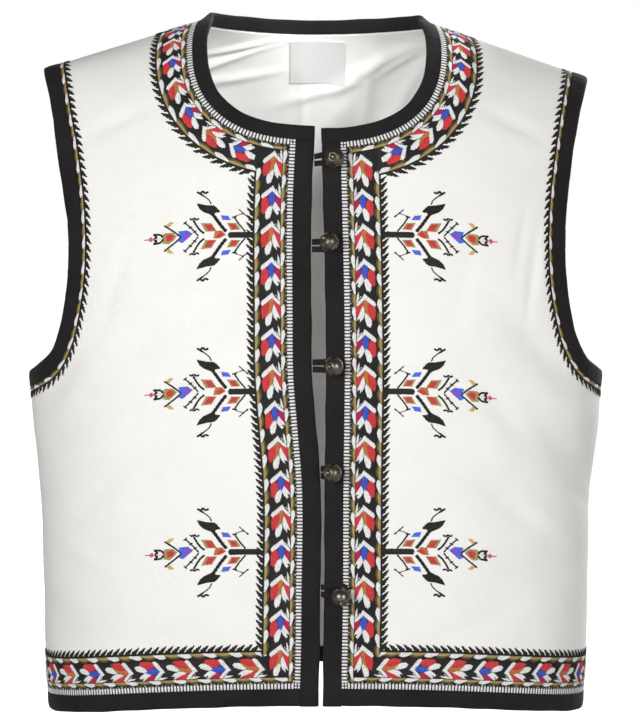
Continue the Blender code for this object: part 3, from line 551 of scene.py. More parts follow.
# The narrow light into the neck: its place, what it points at, watts, cone and softness
NECK_LIGHT_PLACE = (0.30, -0.40, 0.30)
NECK_LIGHT_TARGET = (-0.045, 0.06, -0.03)
NECK_LIGHT_WATTS = 17.0
NECK_LIGHT_CONE = math.radians(20.0)
NECK_LIGHT_BLEND = 0.7
NECK_LIGHT_SIZE = 0.05
WORLD_STRENGTH = 0.13
WORLD_SEEN = 1.0            # as the camera sees it
LIGHT_TARGET = (0.0, 0.0, -0.25)

# The two sides as the viewer sees them: left is -X
SIDES = (("left", -1), ("right", 1))
UP = np.array((0.0, 0.0, 1.0))
WHITE = (1.0, 1.0, 1.0, 1.0)
SECTION_TABLE = np.array(BODY_SECTIONS)
EDGE_TABLE = np.array(FRONT_EDGES)


# Smooth curves through tables
def smooth_column(table, column, height):
    """A smooth curve through one column of a table whose first column is the height."""
    knots = table[:, 0]
    values = table[:, column]
    slopes = np.gradient(values, knots)
    height = np.clip(height, knots[0], knots[-1])
    index = np.clip(np.searchsorted(knots, height, side="right") - 1, 0, len(knots) - 2)
    span = knots[index + 1] - knots[index]
    part = (height - knots[index]) / span
    start = (1 + 2 * part) * (1 - part) ** 2
    end = part ** 2 * (3 - 2 * part)
    rise = part * (1 - part) ** 2 * span * slopes[index]
    fall = part ** 2 * (part - 1) * span * slopes[index + 1]
    return start * values[index] + end * values[index + 1] + rise + fall


def travelled(points):
    """How far along a line of points each one lies."""
    steps = np.linalg.norm(np.diff(points, axis=0), axis=-1)
    return np.concatenate(([0.0], np.cumsum(steps)))


def smooth_path(points, samples=CURVE_SAMPLES):
    """A smooth curve through points, as a dense list of them."""
    points = np.array(points)
    knots = travelled(points)
    where = np.linspace(0.0, knots[-1], samples)
    columns = []
    for column in range(points.shape[1]):
        table = np.column_stack((knots, points[:, column]))
        columns.append(smooth_column(table, 1, where))
    return np.column_stack(columns)


def unit(vectors):
    """Each vector at a length of one."""
    return vectors / np.linalg.norm(vectors, axis=-1, keepdims=True)


def signed_power(values, power):
    """A power of each number's size, with the number's sign."""
    return np.sign(values) * np.abs(values) ** power


# The worn body's surface
def mean_section():
    """How far round the middle section each turn from the centre front lies."""
    row = SECTION_TABLE[MIDDLE_SECTION]
    turn = np.linspace(0.0, math.pi, TURN_SAMPLES)
    sine = np.abs(np.sin(turn)) ** (2 / SECTION_POWER)
    cosine = np.abs(np.cos(turn)) ** (2 / SECTION_POWER)
    depth = np.where(turn < math.pi / 2, -row[2], row[3])
    steps = np.hypot(np.diff(row[1] * sine), np.diff(depth * cosine))
    return turn, np.concatenate(([0.0], np.cumsum(steps)))


TURN_TABLE, ROUND_TABLE = mean_section()
HALF_ROUND = ROUND_TABLE[-1]
SIDE_ROUND = float(np.interp(math.pi / 2, TURN_TABLE, ROUND_TABLE))


def ridge_height(across):
    """The height of the shoulder line, which falls away from the middle."""
    slope = np.where(np.asarray(across) < 0, LEFT_SLOPE, RIGHT_SLOPE)
    return RIDGE_TOP - slope * (np.hypot(across, RIDGE_ROUND) - RIDGE_ROUND)


def wrapped(around):
    """A distance round the cloth, counted either way from the centre front."""
    return (np.asarray(around) + HALF_ROUND) % (2 * HALF_ROUND) - HALF_ROUND


def bare_point(around, rise):
    """The smooth body surface, before its folds."""
    around = wrapped(around)
    turn = np.sign(around) * np.interp(np.abs(around), ROUND_TABLE, TURN_TABLE)
    cosine = np.cos(turn)
    low = np.minimum(rise, ROOF_START)
    half_width = smooth_column(SECTION_TABLE, 1, low)
    front_depth = smooth_column(SECTION_TABLE, 2, low)
    back_depth = smooth_column(SECTION_TABLE, 3, low)
    across = half_width * signed_power(np.sin(turn), 2 / SECTION_POWER)
    deep = np.where(cosine > 0, front_depth, back_depth) * signed_power(cosine, 2 / SECTION_POWER)
    span = ridge_height(across) - ROOF_START
    bend = np.maximum(rise - ROOF_START, 0.0) / span
    height = np.where(rise > ROOF_START, ROOF_START + span * np.sin(bend), rise)
    lean = signed_power(np.cos(bend), ROOF_POWER)
    return np.stack((across, -deep * lean, height), axis=-1)


def crease_depth(around, rise, creases):
    """How far the creases lift the cloth, or let it sink."""
    total = np.zeros(np.broadcast(around, rise).shape)
    for fold_round, fold_height, lean, half_length, half_width, depth in creases:
        offset = wrapped(around - fold_round)
        up = rise - fold_height
        angle = math.radians(lean)
        along = offset * math.cos(angle) + up * math.sin(angle)
        aside = up * math.cos(angle) - offset * math.sin(angle)
        total = total + depth * np.exp(-(along / half_length) ** 2 - (aside / half_width) ** 2)
    return total


def cloth_steps(around, rise):
    """How far the body surface moves in space over two small steps round it, and two up it."""
    east = bare_point(around + NORMAL_STEP, rise) - bare_point(around - NORMAL_STEP, rise)
    north = bare_point(around, rise + NORMAL_STEP) - bare_point(around, rise - NORMAL_STEP)
    return east, north


def cloth_normal(around, rise):
    """The outward direction of the body surface."""
    return unit(np.cross(*cloth_steps(around, rise)))


def cloth_point(around, rise, lift=0.0):
    """A point on the cloth, lifted outwards by a distance."""
    around = np.asarray(around, dtype=float)
    rise = np.asarray(rise, dtype=float)
    height = crease_depth(around, rise, FOLDS + CREASES) + lift
    return bare_point(around, rise) + cloth_normal(around, rise) * height[..., None]


def on_cloth(across, height, behind=False):
    """The place round and up the cloth of a point seen from the front."""
    across = np.asarray(across, dtype=float)
    height = np.asarray(height, dtype=float)
    half_width = smooth_column(SECTION_TABLE, 1, np.minimum(height, ROOF_START))
    ratio = np.clip(np.abs(across) / half_width, 0.0, 1.0)
    turn = np.arcsin(ratio ** (SECTION_POWER / 2))
    if behind:
        turn = math.pi - turn
    around = np.sign(across) * np.interp(turn, TURN_TABLE, ROUND_TABLE)
    span = ridge_height(across) - ROOF_START
    lean = np.arcsin(np.clip((height - ROOF_START) / span, 0.0, 1.0))
    rise = np.where(height > ROOF_START, ROOF_START + span * lean, height)
    return np.stack((around, rise), axis=-1)


def hem_rise(around):
    """The height of the hem's lower edge."""
    turn = np.interp(np.abs(around), ROUND_TABLE, TURN_TABLE)
    lift = np.where(turn < math.pi / 2, HEM_LIFT_FRONT, HEM_LIFT_BACK)
    return lift * np.cos(turn) ** 2


def spaced(path, steps):
    """Points along a path on the cloth, evenly spaced in space."""
    lengths = travelled(cloth_point(*path.T))
    wanted = np.linspace(0.0, lengths[-1], steps + 1)
    around = np.interp(wanted, lengths, path[:, 0])
    rise = np.interp(wanted, lengths, path[:, 1])
    return np.column_stack((around, rise))


# Edges of the panels. A side is 1 towards +X, the viewer's right, and -1 towards -X.
def edge_across(height, side):
    """Where a front edge lies, across from the middle."""
    return smooth_column(EDGE_TABLE, 2 if side > 0 else 1, height)


def neck_drop(across):
    """How far the neck's cut edge falls in front, on the side of a place."""
    return np.where(np.asarray(across) > 0, NECK_DROP_RIGHT, NECK_DROP_LEFT)


def front_neck_height(across):
    """The height of the neck's cut edge in front."""
    ratio = np.clip(np.abs(across) / NECK_HALF_WIDTH, 0.0, 1.0)
    return NECK_WIDEST_HEIGHT - neck_drop(across) * (1 - ratio ** NECK_POWER) ** (1 / NECK_POWER)


def neck_corner(side):
    """The front panel's corner between its front edge and its neck: across, height."""
    across = float(edge_across(NECK_WIDEST_HEIGHT - neck_drop(side), side)) + side * FRONT_BINDING
    return across, float(front_neck_height(across))


def front_edge_path(side):
    """The front panel's cut edge, from the hem to the neck's corner."""
    height = np.linspace(HEM_LIFT_FRONT + HEM_BINDING, neck_corner(side)[1], CURVE_SAMPLES)
    return on_cloth(edge_across(height, side) + side * FRONT_BINDING, height)


def front_neck_path(side):
    """The neck's cut edge in front, from the front panel's corner to the shoulder seam."""
    start = abs(neck_corner(side)[0]) / NECK_HALF_WIDTH
    angle = np.linspace(math.asin(start ** (NECK_POWER / 2)), math.pi / 2, CURVE_SAMPLES)
    across = NECK_HALF_WIDTH * np.sin(angle) ** (2 / NECK_POWER)
    height = NECK_WIDEST_HEIGHT - neck_drop(side) * np.abs(np.cos(angle)) ** (2 / NECK_POWER)
    part = np.linspace(0.0, 1.0, UPPER_SAMPLES)[1:]
    top = ridge_height(side * NECK_POINT_ACROSS)
    upper_across = NECK_HALF_WIDTH - (NECK_HALF_WIDTH - NECK_POINT_ACROSS) * part ** 2
    upper_height = NECK_WIDEST_HEIGHT + (top - NECK_WIDEST_HEIGHT) * part
    across = side * np.concatenate((across, upper_across))
    path = on_cloth(across, np.concatenate((height, upper_height)))
    path[-1] = shoulder_path(side, False)[0]
    return path


def shoulder_path(side, behind):
    """The shoulder seam from the neck to the tip."""
    across = side * np.linspace(NECK_POINT_ACROSS, SHOULDER_TIP_ACROSS, CURVE_SAMPLES)
    path = on_cloth(across, ridge_height(across), behind)
    path[:, 1] -= SEAM_GAP / 2
    return path


def back_neck_path(side):
    """The neck's cut edge behind, from the shoulder seam to the centre back."""
    part = np.linspace(0.0, 1.0, CURVE_SAMPLES)
    across = side * NECK_POINT_ACROSS * np.cos(part * math.pi / 2)
    top = ridge_height(side * NECK_POINT_ACROSS)
    height = BACK_NECK_HEIGHT + (top - BACK_NECK_HEIGHT) * np.cos(part * math.pi / 2) ** 2
    path = on_cloth(across, height, True)
    path[0] = shoulder_path(side, True)[0]
    path[-1, 0] = side * HALF_ROUND
    return path


def side_path(side, behind):
    """The side seam from the hem to the armhole."""
    rise = np.linspace(HEM_BINDING, ARMHOLE_BOTTOM_HEIGHT, CURVE_SAMPLES)
    seam = SIDE_ROUND + (SEAM_GAP / 2 if behind else -SEAM_GAP / 2)
    return np.column_stack((np.full_like(rise, side * seam), rise))


def armhole_path(side, behind):
    """The armhole's cut edge from its lowest point to the shoulder tip."""
    table = ARMHOLE_BACK if behind else ARMHOLE_FRONT
    side_width = float(smooth_column(SECTION_TABLE, 1, ARMHOLE_BOTTOM_HEIGHT))
    tip = (SHOULDER_TIP_ACROSS, float(ridge_height(side * SHOULDER_TIP_ACROSS)))
    flat = smooth_path((tip,) + table + ((side_width, ARMHOLE_BOTTOM_HEIGHT),))
    path = on_cloth(side * flat[::-1, 0], flat[::-1, 1], behind)
    path[0] = side_path(side, behind)[-1]
    path[-1] = shoulder_path(side, behind)[-1]
    return path


def hem_path(start, end):
    """The panels' lower cut edge, above the hem binding."""
    around = np.linspace(start, end, CURVE_SAMPLES)
    return np.column_stack((around, hem_rise(around) + HEM_BINDING))


# Grids on the cloth, as rows from the hem up
def filled_grid(bottom, top, first, last):
    """A grid whose four edges are the four lists of points."""
    across = np.linspace(0.0, 1.0, len(bottom))[None, :, None]
    up = np.linspace(0.0, 1.0, len(first))[:, None, None]
    ruled_up = (1 - up) * bottom[None] + up * top[None]
    ruled_across = (1 - across) * first[:, None] + across * last[:, None]
    low = (1 - across) * bottom[0] + across * bottom[-1]
    high = (1 - across) * top[0] + across * top[-1]
    return ruled_up + ruled_across - ((1 - up) * low + up * high)


def joined(*pieces):
    """Lists of points end to end, each joint's point once."""
    return np.concatenate([pieces[0]] + [piece[1:] for piece in pieces[1:]])


def front_grid(side):
    """A front panel, each row from the closure out to the side on +X, and the other way on -X."""
    inner = joined(spaced(front_edge_path(side), EDGE_STEPS), spaced(front_neck_path(side), NECK_STEPS))
    side_edge = spaced(side_path(side, False), SIDE_STEPS)
    outer = joined(side_edge, spaced(armhole_path(side, False), ARMHOLE_STEPS))
    bottom = spaced(hem_path(inner[0, 0], outer[0, 0]), HALF_COLUMNS)
    top = spaced(shoulder_path(side, False), HALF_COLUMNS)
    bottom[0] = inner[0]
    bottom[-1] = outer[0]
    grid = filled_grid(bottom, top, inner, outer)
    return grid if side > 0 else grid[:, ::-1]


def half_back_grid(side):
    """Half the back, each row from the side seam to the centre back."""
    side_edge = spaced(side_path(side, True), SIDE_STEPS)
    outer = joined(side_edge, spaced(armhole_path(side, True), ARMHOLE_STEPS))
    shoulder = spaced(shoulder_path(side, True), SHOULDER_COLUMNS)[::-1]
    top = joined(shoulder, spaced(back_neck_path(side), HALF_COLUMNS - SHOULDER_COLUMNS))
    bottom = spaced(hem_path(outer[0, 0], side * HALF_ROUND), HALF_COLUMNS)
    bottom[0] = outer[0]
    rise = np.linspace(bottom[-1, 1], top[-1, 1], len(outer))
    middle = np.column_stack((np.full(len(outer), side * HALF_ROUND), rise))
    return filled_grid(bottom, top, outer, middle)


def back_grid():
    """The back from the side towards +X round to the other one."""
    other = half_back_grid(-1)[:, -2::-1].copy()
    other[:, :, 0] += 2 * HALF_ROUND
    return np.concatenate((half_back_grid(1), other), axis=1)


# Meshes
def add_mesh(name, points, quads, materials, flat_places, picks=None):
    """An object made from arrays of points and four-sided faces, with its flat layout."""
    points = np.asarray(points, dtype=np.float32).reshape(-1, 3)
    quads = np.asarray(quads, dtype=np.int32)
    mesh = bpy.data.meshes.new(name)
    mesh.vertices.add(len(points))
    mesh.vertices.foreach_set("co", points.ravel())
    mesh.loops.add(quads.size)
    mesh.loops.foreach_set("vertex_index", quads.ravel())
    mesh.polygons.add(len(quads))
    mesh.polygons.foreach_set("loop_start", np.arange(0, quads.size, 4, dtype=np.int32))
    for material in materials:
        mesh.materials.append(material)
    if picks is not None:
        mesh.polygons.foreach_set("material_index", np.asarray(picks, dtype=np.int32))
    layer = mesh.uv_layers.new(name="cloth")
    layer.data.foreach_set("uv", np.asarray(flat_places, dtype=np.float32)[quads.ravel()].ravel())
    mesh.update(calc_edges=True)
    mesh.shade_smooth()
    piece = bpy.data.objects.new(name, mesh)
    bpy.context.scene.collection.objects.link(piece)
    return piece


def raised(points):
    """Points measured from the hem, moved so that the origin is where the vest is held."""
    return np.asarray(points) - HOLD_HEIGHT * UP


def grid_quads(rows, columns, start=0, flip=False):
    """The faces of a grid whose points are listed row by row."""
    corner = (np.arange(rows - 1)[:, None] * columns + np.arange(columns - 1)[None]).ravel() + start
    quads = np.column_stack((corner, corner + 1, corner + columns + 1, corner + columns))
    return quads[:, ::-1] if flip else quads


def shell_quads(rows, columns):
    """The faces of a thin shell whose outer grid comes first and whose inner grid follows."""
    count = rows * columns
    rim = list(range(columns))
    rim += [row * columns + columns - 1 for row in range(1, rows)]
    rim += [(rows - 1) * columns + column for column in range(columns - 2, -1, -1)]
    rim += [row * columns for row in range(rows - 2, 0, -1)]
    here = np.array(rim)
    there = np.roll(here, -1)
    edge = np.column_stack((here, here + count, there + count, there))
    return np.concatenate((grid_quads(rows, columns), grid_quads(rows, columns, count, True), edge))


def ring_quads(rings, sides, closed):
    """The faces of a tube whose rings of points are listed one after another."""
    spans = rings if closed else rings - 1
    ring = np.arange(spans)[:, None]
    side = np.arange(sides)[None]
    here = ring * sides
    there = (ring + 1) % rings * sides
    after = (side + 1) % sides
    quads = np.stack((here + side, there + side, there + after, here + after), axis=-1)
    return quads.reshape(-1, 4)


def capped(quads, rings, sides):
    """A tube's faces, and those that close its two ends from one side across to the other."""
    number = np.arange(sides // 2 - 1)
    near = np.column_stack((number, number + 1, sides - 2 - number, sides - 1 - number))
    if quads[0, 1] != sides:
        near = near[:, ::-1]
    far = near[:, ::-1] + (rings - 1) * sides
    return np.concatenate((quads, near, far))


def laid_flat(along, around):
    """The flat places of a tube's points, from its length and its unrolled section."""
    return np.stack(np.broadcast_arrays(along[:, None], around[None]), axis=-1).reshape(-1, 2)


def keep(piece, node=None):
    """Fixes a piece to the vest, in place of the frame's node, which is hidden."""
    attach(piece, "root")
    if node:
        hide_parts(node)


# Materials. These are the colour sockets of a Mix node, which are known by number alone.
MIX_FIRST = 6
MIX_SECOND = 7
MIX_RESULT = 2


class Graph:
    """A material or a node group, with a short way to add nodes and join them."""

    def __init__(self, tree):
        self.tree = tree

    def add(self, kind, settings=(), **inputs):
        """A new node with its settings, and its inputs set or joined."""
        node = self.tree.nodes.new(kind)
        for name, value in settings:
            setattr(node, name, value)
        for name, value in inputs.items():
            self.join(node.inputs[name], value)
        return node

    def join(self, socket, value):
        """Joins a socket to another node's output, or sets its value."""
        if isinstance(value, bpy.types.NodeSocket):
            self.tree.links.new(value, socket)
        else:
            socket.default_value = value

    def maths(self, operation, first, second=0.0):
        """The result of one step of arithmetic."""
        node = self.add("ShaderNodeMath", (("operation", operation),))
        self.join(node.inputs[0], first)
        self.join(node.inputs[1], second)
        return node.outputs[0]

    def mixed(self, part, first, second):
        """A colour that runs from the first to the second."""
        node = self.add("ShaderNodeMix", (("data_type", "RGBA"),))
        self.join(node.inputs[0], part)
        self.join(node.inputs[MIX_FIRST], first)
        self.join(node.inputs[MIX_SECOND], second)
        return node.outputs[MIX_RESULT]

    def noise(self, place, scale, detail=2.0):
        """A value that wanders over the surface."""
        node = self.add("ShaderNodeTexNoise", Vector=place, Scale=scale, Detail=detail)
        return node.outputs["Fac"]

    def ranged(self, value, low, high, to_low=0.0, to_high=1.0):
        """A value carried over from one span to another, and held within it."""
        node = self.add("ShaderNodeMapRange")
        for socket, number in zip(node.inputs, (value, low, high, to_low, to_high)):
            self.join(socket, number)
        return node.outputs[0]

    def flat_place(self):
        """The place on the piece's own flat layout."""
        return self.add("ShaderNodeUVMap", (("uv_map", "cloth"),)).outputs["UV"]

    def object_place(self):
        """The place in the object's own space."""
        return self.add("ShaderNodeTexCoord").outputs["Object"]


def opaque(colour):
    """A colour with full cover, as a socket takes it."""
    return (*colour, 1.0)


def relief_group(name, numbers=()):
    """A new node group that gives a height and a tone at a place, and what is given to it."""
    tree = bpy.data.node_groups.new(name, "ShaderNodeTree")
    tree.interface.new_socket("Place", in_out="INPUT", socket_type="NodeSocketVector")
    for number in numbers:
        tree.interface.new_socket(number, in_out="INPUT", socket_type="NodeSocketFloat")
    for result in ("Height", "Tone"):
        tree.interface.new_socket(result, in_out="OUTPUT", socket_type="NodeSocketFloat")
    graph = Graph(tree)
    return graph, graph.add("NodeGroupInput").outputs


def weave_group():
    """Threads that cross over and under: their height, and how light each place is."""
    graph, given = relief_group("weave", ["Threads"])
    place = given["Place"]
    parts = graph.add("ShaderNodeSeparateXYZ", Vector=place)
    wander = graph.maths("MULTIPLY", graph.noise(place, WANDER_SCALE), WANDER)
    waves = []
    for axis in ("X", "Y"):
        steps = graph.maths("MULTIPLY", parts.outputs[axis], given["Threads"])
        turn = graph.maths("ADD", graph.maths("MULTIPLY", steps, math.pi), wander)
        waves.append(graph.maths("SINE", turn))
    over = graph.maths("MULTIPLY", graph.maths("MULTIPLY", *waves), CROSSING_HEIGHT)
    height = graph.maths("ADD", over, graph.noise(place, SLUB_SCALE, SLUB_DETAIL))
    tone = graph.noise(place, CLOTH_TONE_SCALE, CLOTH_TONE_DETAIL)
    graph.add("NodeGroupOutput", Height=height, Tone=tone)
    return graph.tree


def thread_group():
    """Fine strands along each stitch, and a tone of its own for each."""
    graph, given = relief_group("thread")
    place = given["Place"]
    parts = graph.add("ShaderNodeSeparateXYZ", Vector=place)
    turn = graph.maths("MULTIPLY", parts.outputs["X"], 2 * math.pi * STRANDS_ACROSS)
    twist = graph.maths("MULTIPLY", parts.outputs["Y"], 2 * math.pi * STRANDS_TWIST)
    strand = graph.maths("SINE", graph.maths("ADD", turn, twist))
    tone = graph.noise(place, THREAD_TONE_SCALE)
    graph.add("NodeGroupOutput", Height=strand, Tone=tone)
    return graph.tree


def new_material(name, roughness, metallic=0.0, sheen=0.0, gloss=0.5):
    """A material's graph and its shader, with the shader's constant numbers set."""
    material = bpy.data.materials.new(name)
    material.use_nodes = True
    graph = Graph(material.node_tree)
    shader = material.node_tree.nodes["Principled BSDF"]
    shader.inputs["Roughness"].default_value = roughness
    shader.inputs["Metallic"].default_value = metallic
    shader.inputs["Sheen Weight"].default_value = sheen
    shader.inputs["Specular IOR Level"].default_value = gloss
    return material, graph, shader


def bumped(graph, shader, height, distance):
    """Lets a height show in the shader's normal."""
    bump = graph.add("ShaderNodeBump", Height=height, Distance=distance, Strength=1.0)
    graph.join(shader.inputs["Normal"], bump.outputs["Normal"])


def cloth_material(name):
    """Woven cloth that follows its own flat layout, with shade painted into the hollows between its threads.
    """
    light, dark, threads, relief, roughness, sheen = CLOTHS[name]
    material, graph, shader = new_material(name, roughness, sheen=sheen, gloss=CLOTH_GLOSS)
    settings = (("node_tree", WEAVE),)
    weave = graph.add("ShaderNodeGroup", settings, Place=graph.flat_place(), Threads=threads)
    tone = graph.ranged(weave.outputs["Tone"], *CLOTH_TONE_SPAN)
    # painted shade: the weave's hollows are mixed towards the dark tone
    crest = graph.ranged(weave.outputs["Height"], *CREST_SPAN, SHADED_HOLLOW_TONE)
    colour = graph.mixed(tone, opaque(light), opaque(dark))
    graph.join(shader.inputs["Base Color"], graph.mixed(crest, opaque(dark), colour))
    bumped(graph, shader, weave.outputs["Height"], relief)
    return material


def thread_material(name):
    """Embroidery thread in one colour, a little deeper and brighter from stitch to stitch."""
    material, graph, shader = new_material(
        "thread_" + name, THREAD_ROUGHNESS, sheen=THREAD_SHEEN, gloss=THREAD_GLOSS)
    thread = graph.add("ShaderNodeGroup", (("node_tree", THREAD),), Place=graph.flat_place())
    deep = [THREAD_DEEP * part for part in THREADS[name]]
    bright = [min(BRIGHTEST, THREAD_BRIGHT * part) for part in THREADS[name]]
    tone = graph.ranged(thread.outputs["Tone"], *THREAD_TONE_SPAN)
    graph.join(shader.inputs["Base Color"], graph.mixed(tone, opaque(deep), opaque(bright)))
    bumped(graph, shader, thread.outputs["Height"], THREAD_RELIEF)
    return material


def silver_material():
    """Dark antique silver, a little brighter where it is rubbed."""
    material, graph, shader = new_material("antique_silver", SILVER_DULL, metallic=1.0)
    place = graph.object_place()
    tarnish = graph.noise(place, TARNISH_SCALE, TARNISH_DETAIL)
    tone = graph.ranged(tarnish, *TARNISH_TONE_SPAN)
    rough = graph.ranged(tarnish, *TARNISH_ROUGH_SPAN, SILVER_DULL, SILVER_RUBBED)
    graph.join(shader.inputs["Base Color"], graph.mixed(tone, opaque(SILVER_DARK), opaque(SILVER_LIGHT)))
    graph.join(shader.inputs["Roughness"], rough)
    bumped(graph, shader, graph.noise(place, SCRATCH_SCALE), SILVER_RELIEF)
    return material


WEAVE = weave_group()
THREAD = thread_group()
IVORY = cloth_material("ivory_weave")
LINING = cloth_material("lining_weave")
BLACK = cloth_material("binding_weave")
CORD = cloth_material("cord_weave")
LABEL = cloth_material("label_weave")
SILVER = silver_material()
THREAD_NAMES = list(THREADS)
THREAD_MATERIALS = [thread_material(name) for name in THREAD_NAMES]


# Cloth panels and linings, as thin shells on the frame's form
def shell_piece(name, grid, outer, inner, material, place=cloth_point):
    """A thin shell between two lifts of one grid."""
    rows, columns = grid.shape[:2]
    around = grid[:, :, 0].ravel()
    rise = grid[:, :, 1].ravel()
    points = np.concatenate((place(around, rise, outer), place(around, rise, inner)))
    flat = np.column_stack((around, rise))
    quads = shell_quads(rows, columns)
    return add_mesh(name, raised(points), quads, [material], np.concatenate((flat, flat)))


def lining_point(around, rise, lift):
    """A point on the lining, whose own slack folds hang inwards."""
    slack = np.maximum(crease_depth(around, rise, LINING_CREASES), 0.0)
    return cloth_point(around, rise, lift - slack)


def make_panel(name, grid, node):
    """A front or the back, of the ivory cloth."""
    piece = shell_piece(name, grid, 0.0, -PANEL_THICK, IVORY)
    keep(piece, node)


def make_cloth(grids):
    """The two fronts, the back and its lining."""
    for name, _ in SIDES:
        make_panel("cloth_front_" + name, grids[name], "front_" + name)
    make_panel("cloth_back", grids["back"], "back")
    outer = -PANEL_THICK - SEAM_GAP
    piece = shell_piece("lining_back", grids["back"], outer, outer - LINING_THICK, LINING, lining_point)
    keep(piece, "back_lining")


# Folded bands along the cut edges
def inner_points(grid, side):
    """A front panel's edge on the closure side, from the hem to the shoulder."""
    return grid[:, 0] if side > 0 else grid[:, -1]


def outer_points(grid, side):
    """A front panel's edge on the armhole side, from the hem to the shoulder."""
    return grid[:, -1] if side > 0 else grid[:, 0]


def edge_frames(path, away):
    """Places, outward normals and directions away from the cloth along its cut edge."""
    places = cloth_point(*path.T)
    normals = cloth_normal(*path.T)
    return places, normals, unit(away * np.cross(normals, np.gradient(places, axis=0)))


def folded_outline(width):
    """Half of a folded band's section: over the outer face, round the fold, along the inner."""
    top = BINDING_PROUD
    middle = (top + LINED_LIFT - BINDING_PROUD) / 2
    half = top - middle
    outline = [(-lap * BAND_LAP, half + thick * BAND_THICK) for lap, thick in OUTER_LAP]
    for part in OUTER_MARKS:
        outline.append((width * part, half + BAND_BULGE * BAND_THICK * math.sin(math.pi * part)))
    for step in range(FOLD_STEPS + 1):
        angle = math.pi * (0.5 - step / FOLD_STEPS)
        outline.append((width - half + half * math.cos(angle), half * math.sin(angle)))
    outline += [(width * part, -half) for part in INNER_MARKS]
    lap, thick = INNER_LAP
    outline.append((-lap * BAND_LAP, -half + thick * BAND_THICK))
    return np.array(outline), middle, half


def waver(along, seed, lengths):
    """An uneven wave along an edge, from a few sines of different lengths."""
    generator = np.random.default_rng(seed)
    total = np.zeros_like(along)
    for length in lengths:
        total += np.sin(2 * math.pi * (along / length + generator.random()))
    return total / len(lengths)


def make_band(name, node, frames, width, seed, closed=False):
    """A strip of cloth folded over a cut edge, with small puckers along its stitching."""
    places, normals, aside = frames
    outline, middle, half = folded_outline(width)
    inward = outline.copy()
    inward[:, 0] -= BAND_THICK * np.clip((outline[:, 0] - width + half) / half, 0.0, 1.0)
    inward[:, 1] *= 1 - BAND_THICK / half
    section = np.concatenate((outline, inward[::-1]))
    along = travelled(places)
    wide = 1 + BAND_WAVER / width * waver(along, seed, WAVER_LENGTHS)
    pucker = BAND_PUCKER * waver(along, seed + 1, PUCKER_LENGTHS)
    facing = np.clip(section[:, 1] / half, -1.0, 1.0)
    reach = section[None, :, 0] * wide[:, None]
    lift = middle + section[None, :, 1] + facing[None] * pucker[:, None]
    points = places[:, None] + aside[:, None] * reach[..., None] + normals[:, None] * lift[..., None]
    quads = ring_quads(len(places), len(section), closed)
    if np.sum(np.cross(aside, normals)[:-1] * np.diff(places, axis=0)) < 0:
        quads = quads[:, ::-1]
    length = along[-1]
    if closed:
        length += float(np.linalg.norm(places[0] - places[-1]))
    else:
        quads = capped(quads, len(places), len(section))
    piece = add_mesh(name, raised(points), quads, [BLACK], laid_flat(along, travelled(section)))
    keep(piece, node)


def front_band_path(grids, name, side):
    """A front's edge, carried on down to the hem."""
    edge = inner_points(grids[name], side)[:EDGE_STEPS + 1]
    foot = np.repeat(edge[:1], FOOT_STEPS, axis=0)
    foot[:, 1] = np.linspace(float(hem_rise(edge[0, 0])), edge[0, 1], FOOT_STEPS, endpoint=False)
    return np.concatenate((foot, edge))


def armhole_frames(grids, name, side):
    """The armhole's edge up the front, over the shoulder tip and down the back."""
    front = outer_points(grids[name], side)[SIDE_STEPS:].copy()
    back = grids["back"][SIDE_STEPS:, 0 if side > 0 else -1].copy()
    if side < 0:
        back[:, 0] -= 2 * HALF_ROUND
    front[0] = (front[0] + back[0]) / 2
    ring = np.concatenate((front, back[-2:0:-1]))
    places = cloth_point(*ring.T)
    places[len(front) - 1] = (cloth_point(*front[-1]) + cloth_point(*back[-1])) / 2
    normals = cloth_normal(*ring.T)
    travel = np.roll(places, -1, axis=0) - np.roll(places, 1, axis=0)
    return places, normals, unit(side * np.cross(travel, normals))


def neck_frames(grids):
    """The neck's whole edge, from the left front round the back to the right front."""
    left = inner_points(grids["left"], -1)[EDGE_STEPS:]
    right = inner_points(grids["right"], 1)[EDGE_STEPS:]
    columns = grids["back"].shape[1]
    back = grids["back"][-1, SHOULDER_COLUMNS:columns - SHOULDER_COLUMNS][::-1][1:-1]
    ends = []
    for side, corner in ((-1, left[0]), (1, right[0])):
        across = float(edge_across(NECK_WIDEST_HEIGHT - neck_drop(side), side))
        tip = on_cloth(across, front_neck_height(across))
        ends.append(np.linspace(tip, corner, FOOT_STEPS, endpoint=False))
    path = np.concatenate((ends[0], left, back, right[::-1], ends[1][::-1]))
    places, normals, aside = edge_frames(path, -1)
    lift = np.clip((places[:, 1] - NECK_STAND_FROM) / (NECK_STAND_TO - NECK_STAND_FROM), 0.0, 1.0)
    stand = (NECK_STAND * lift ** 2 * (3 - 2 * lift))[:, None]
    aside = unit((1 - stand) * aside + stand * UP)
    across = unit(np.cross(np.gradient(places, axis=0), aside))
    across *= np.sign(np.sum(across * normals, axis=1, keepdims=True))
    return places, across, aside


def make_bands(grids):
    """The bands of the fronts, the armholes, the hem and the neck."""
    for number, (name, side) in enumerate(SIDES):
        frames = edge_frames(front_band_path(grids, name, side), side)
        make_band("band_front_" + name, "front_binding_" + name, frames, FRONT_BINDING,
                  FRONT_BAND_SEED + number)
        frames = armhole_frames(grids, name, side)
        make_band("band_armhole_" + name, "armhole_binding_" + name, frames, ARMHOLE_BINDING,
                  ARMHOLE_BAND_SEED + number, closed=True)
    for number, name in enumerate(("left", "right", "back")):
        frames = edge_frames(grids[name][0], -1)
        make_band("band_hem_" + name, "hem_binding_" + name, frames, HEM_BINDING,
                  HEM_BAND_SEED + number)
    make_band("band_neck", "neck_binding", neck_frames(grids), NECK_BINDING, NECK_BAND_SEED)


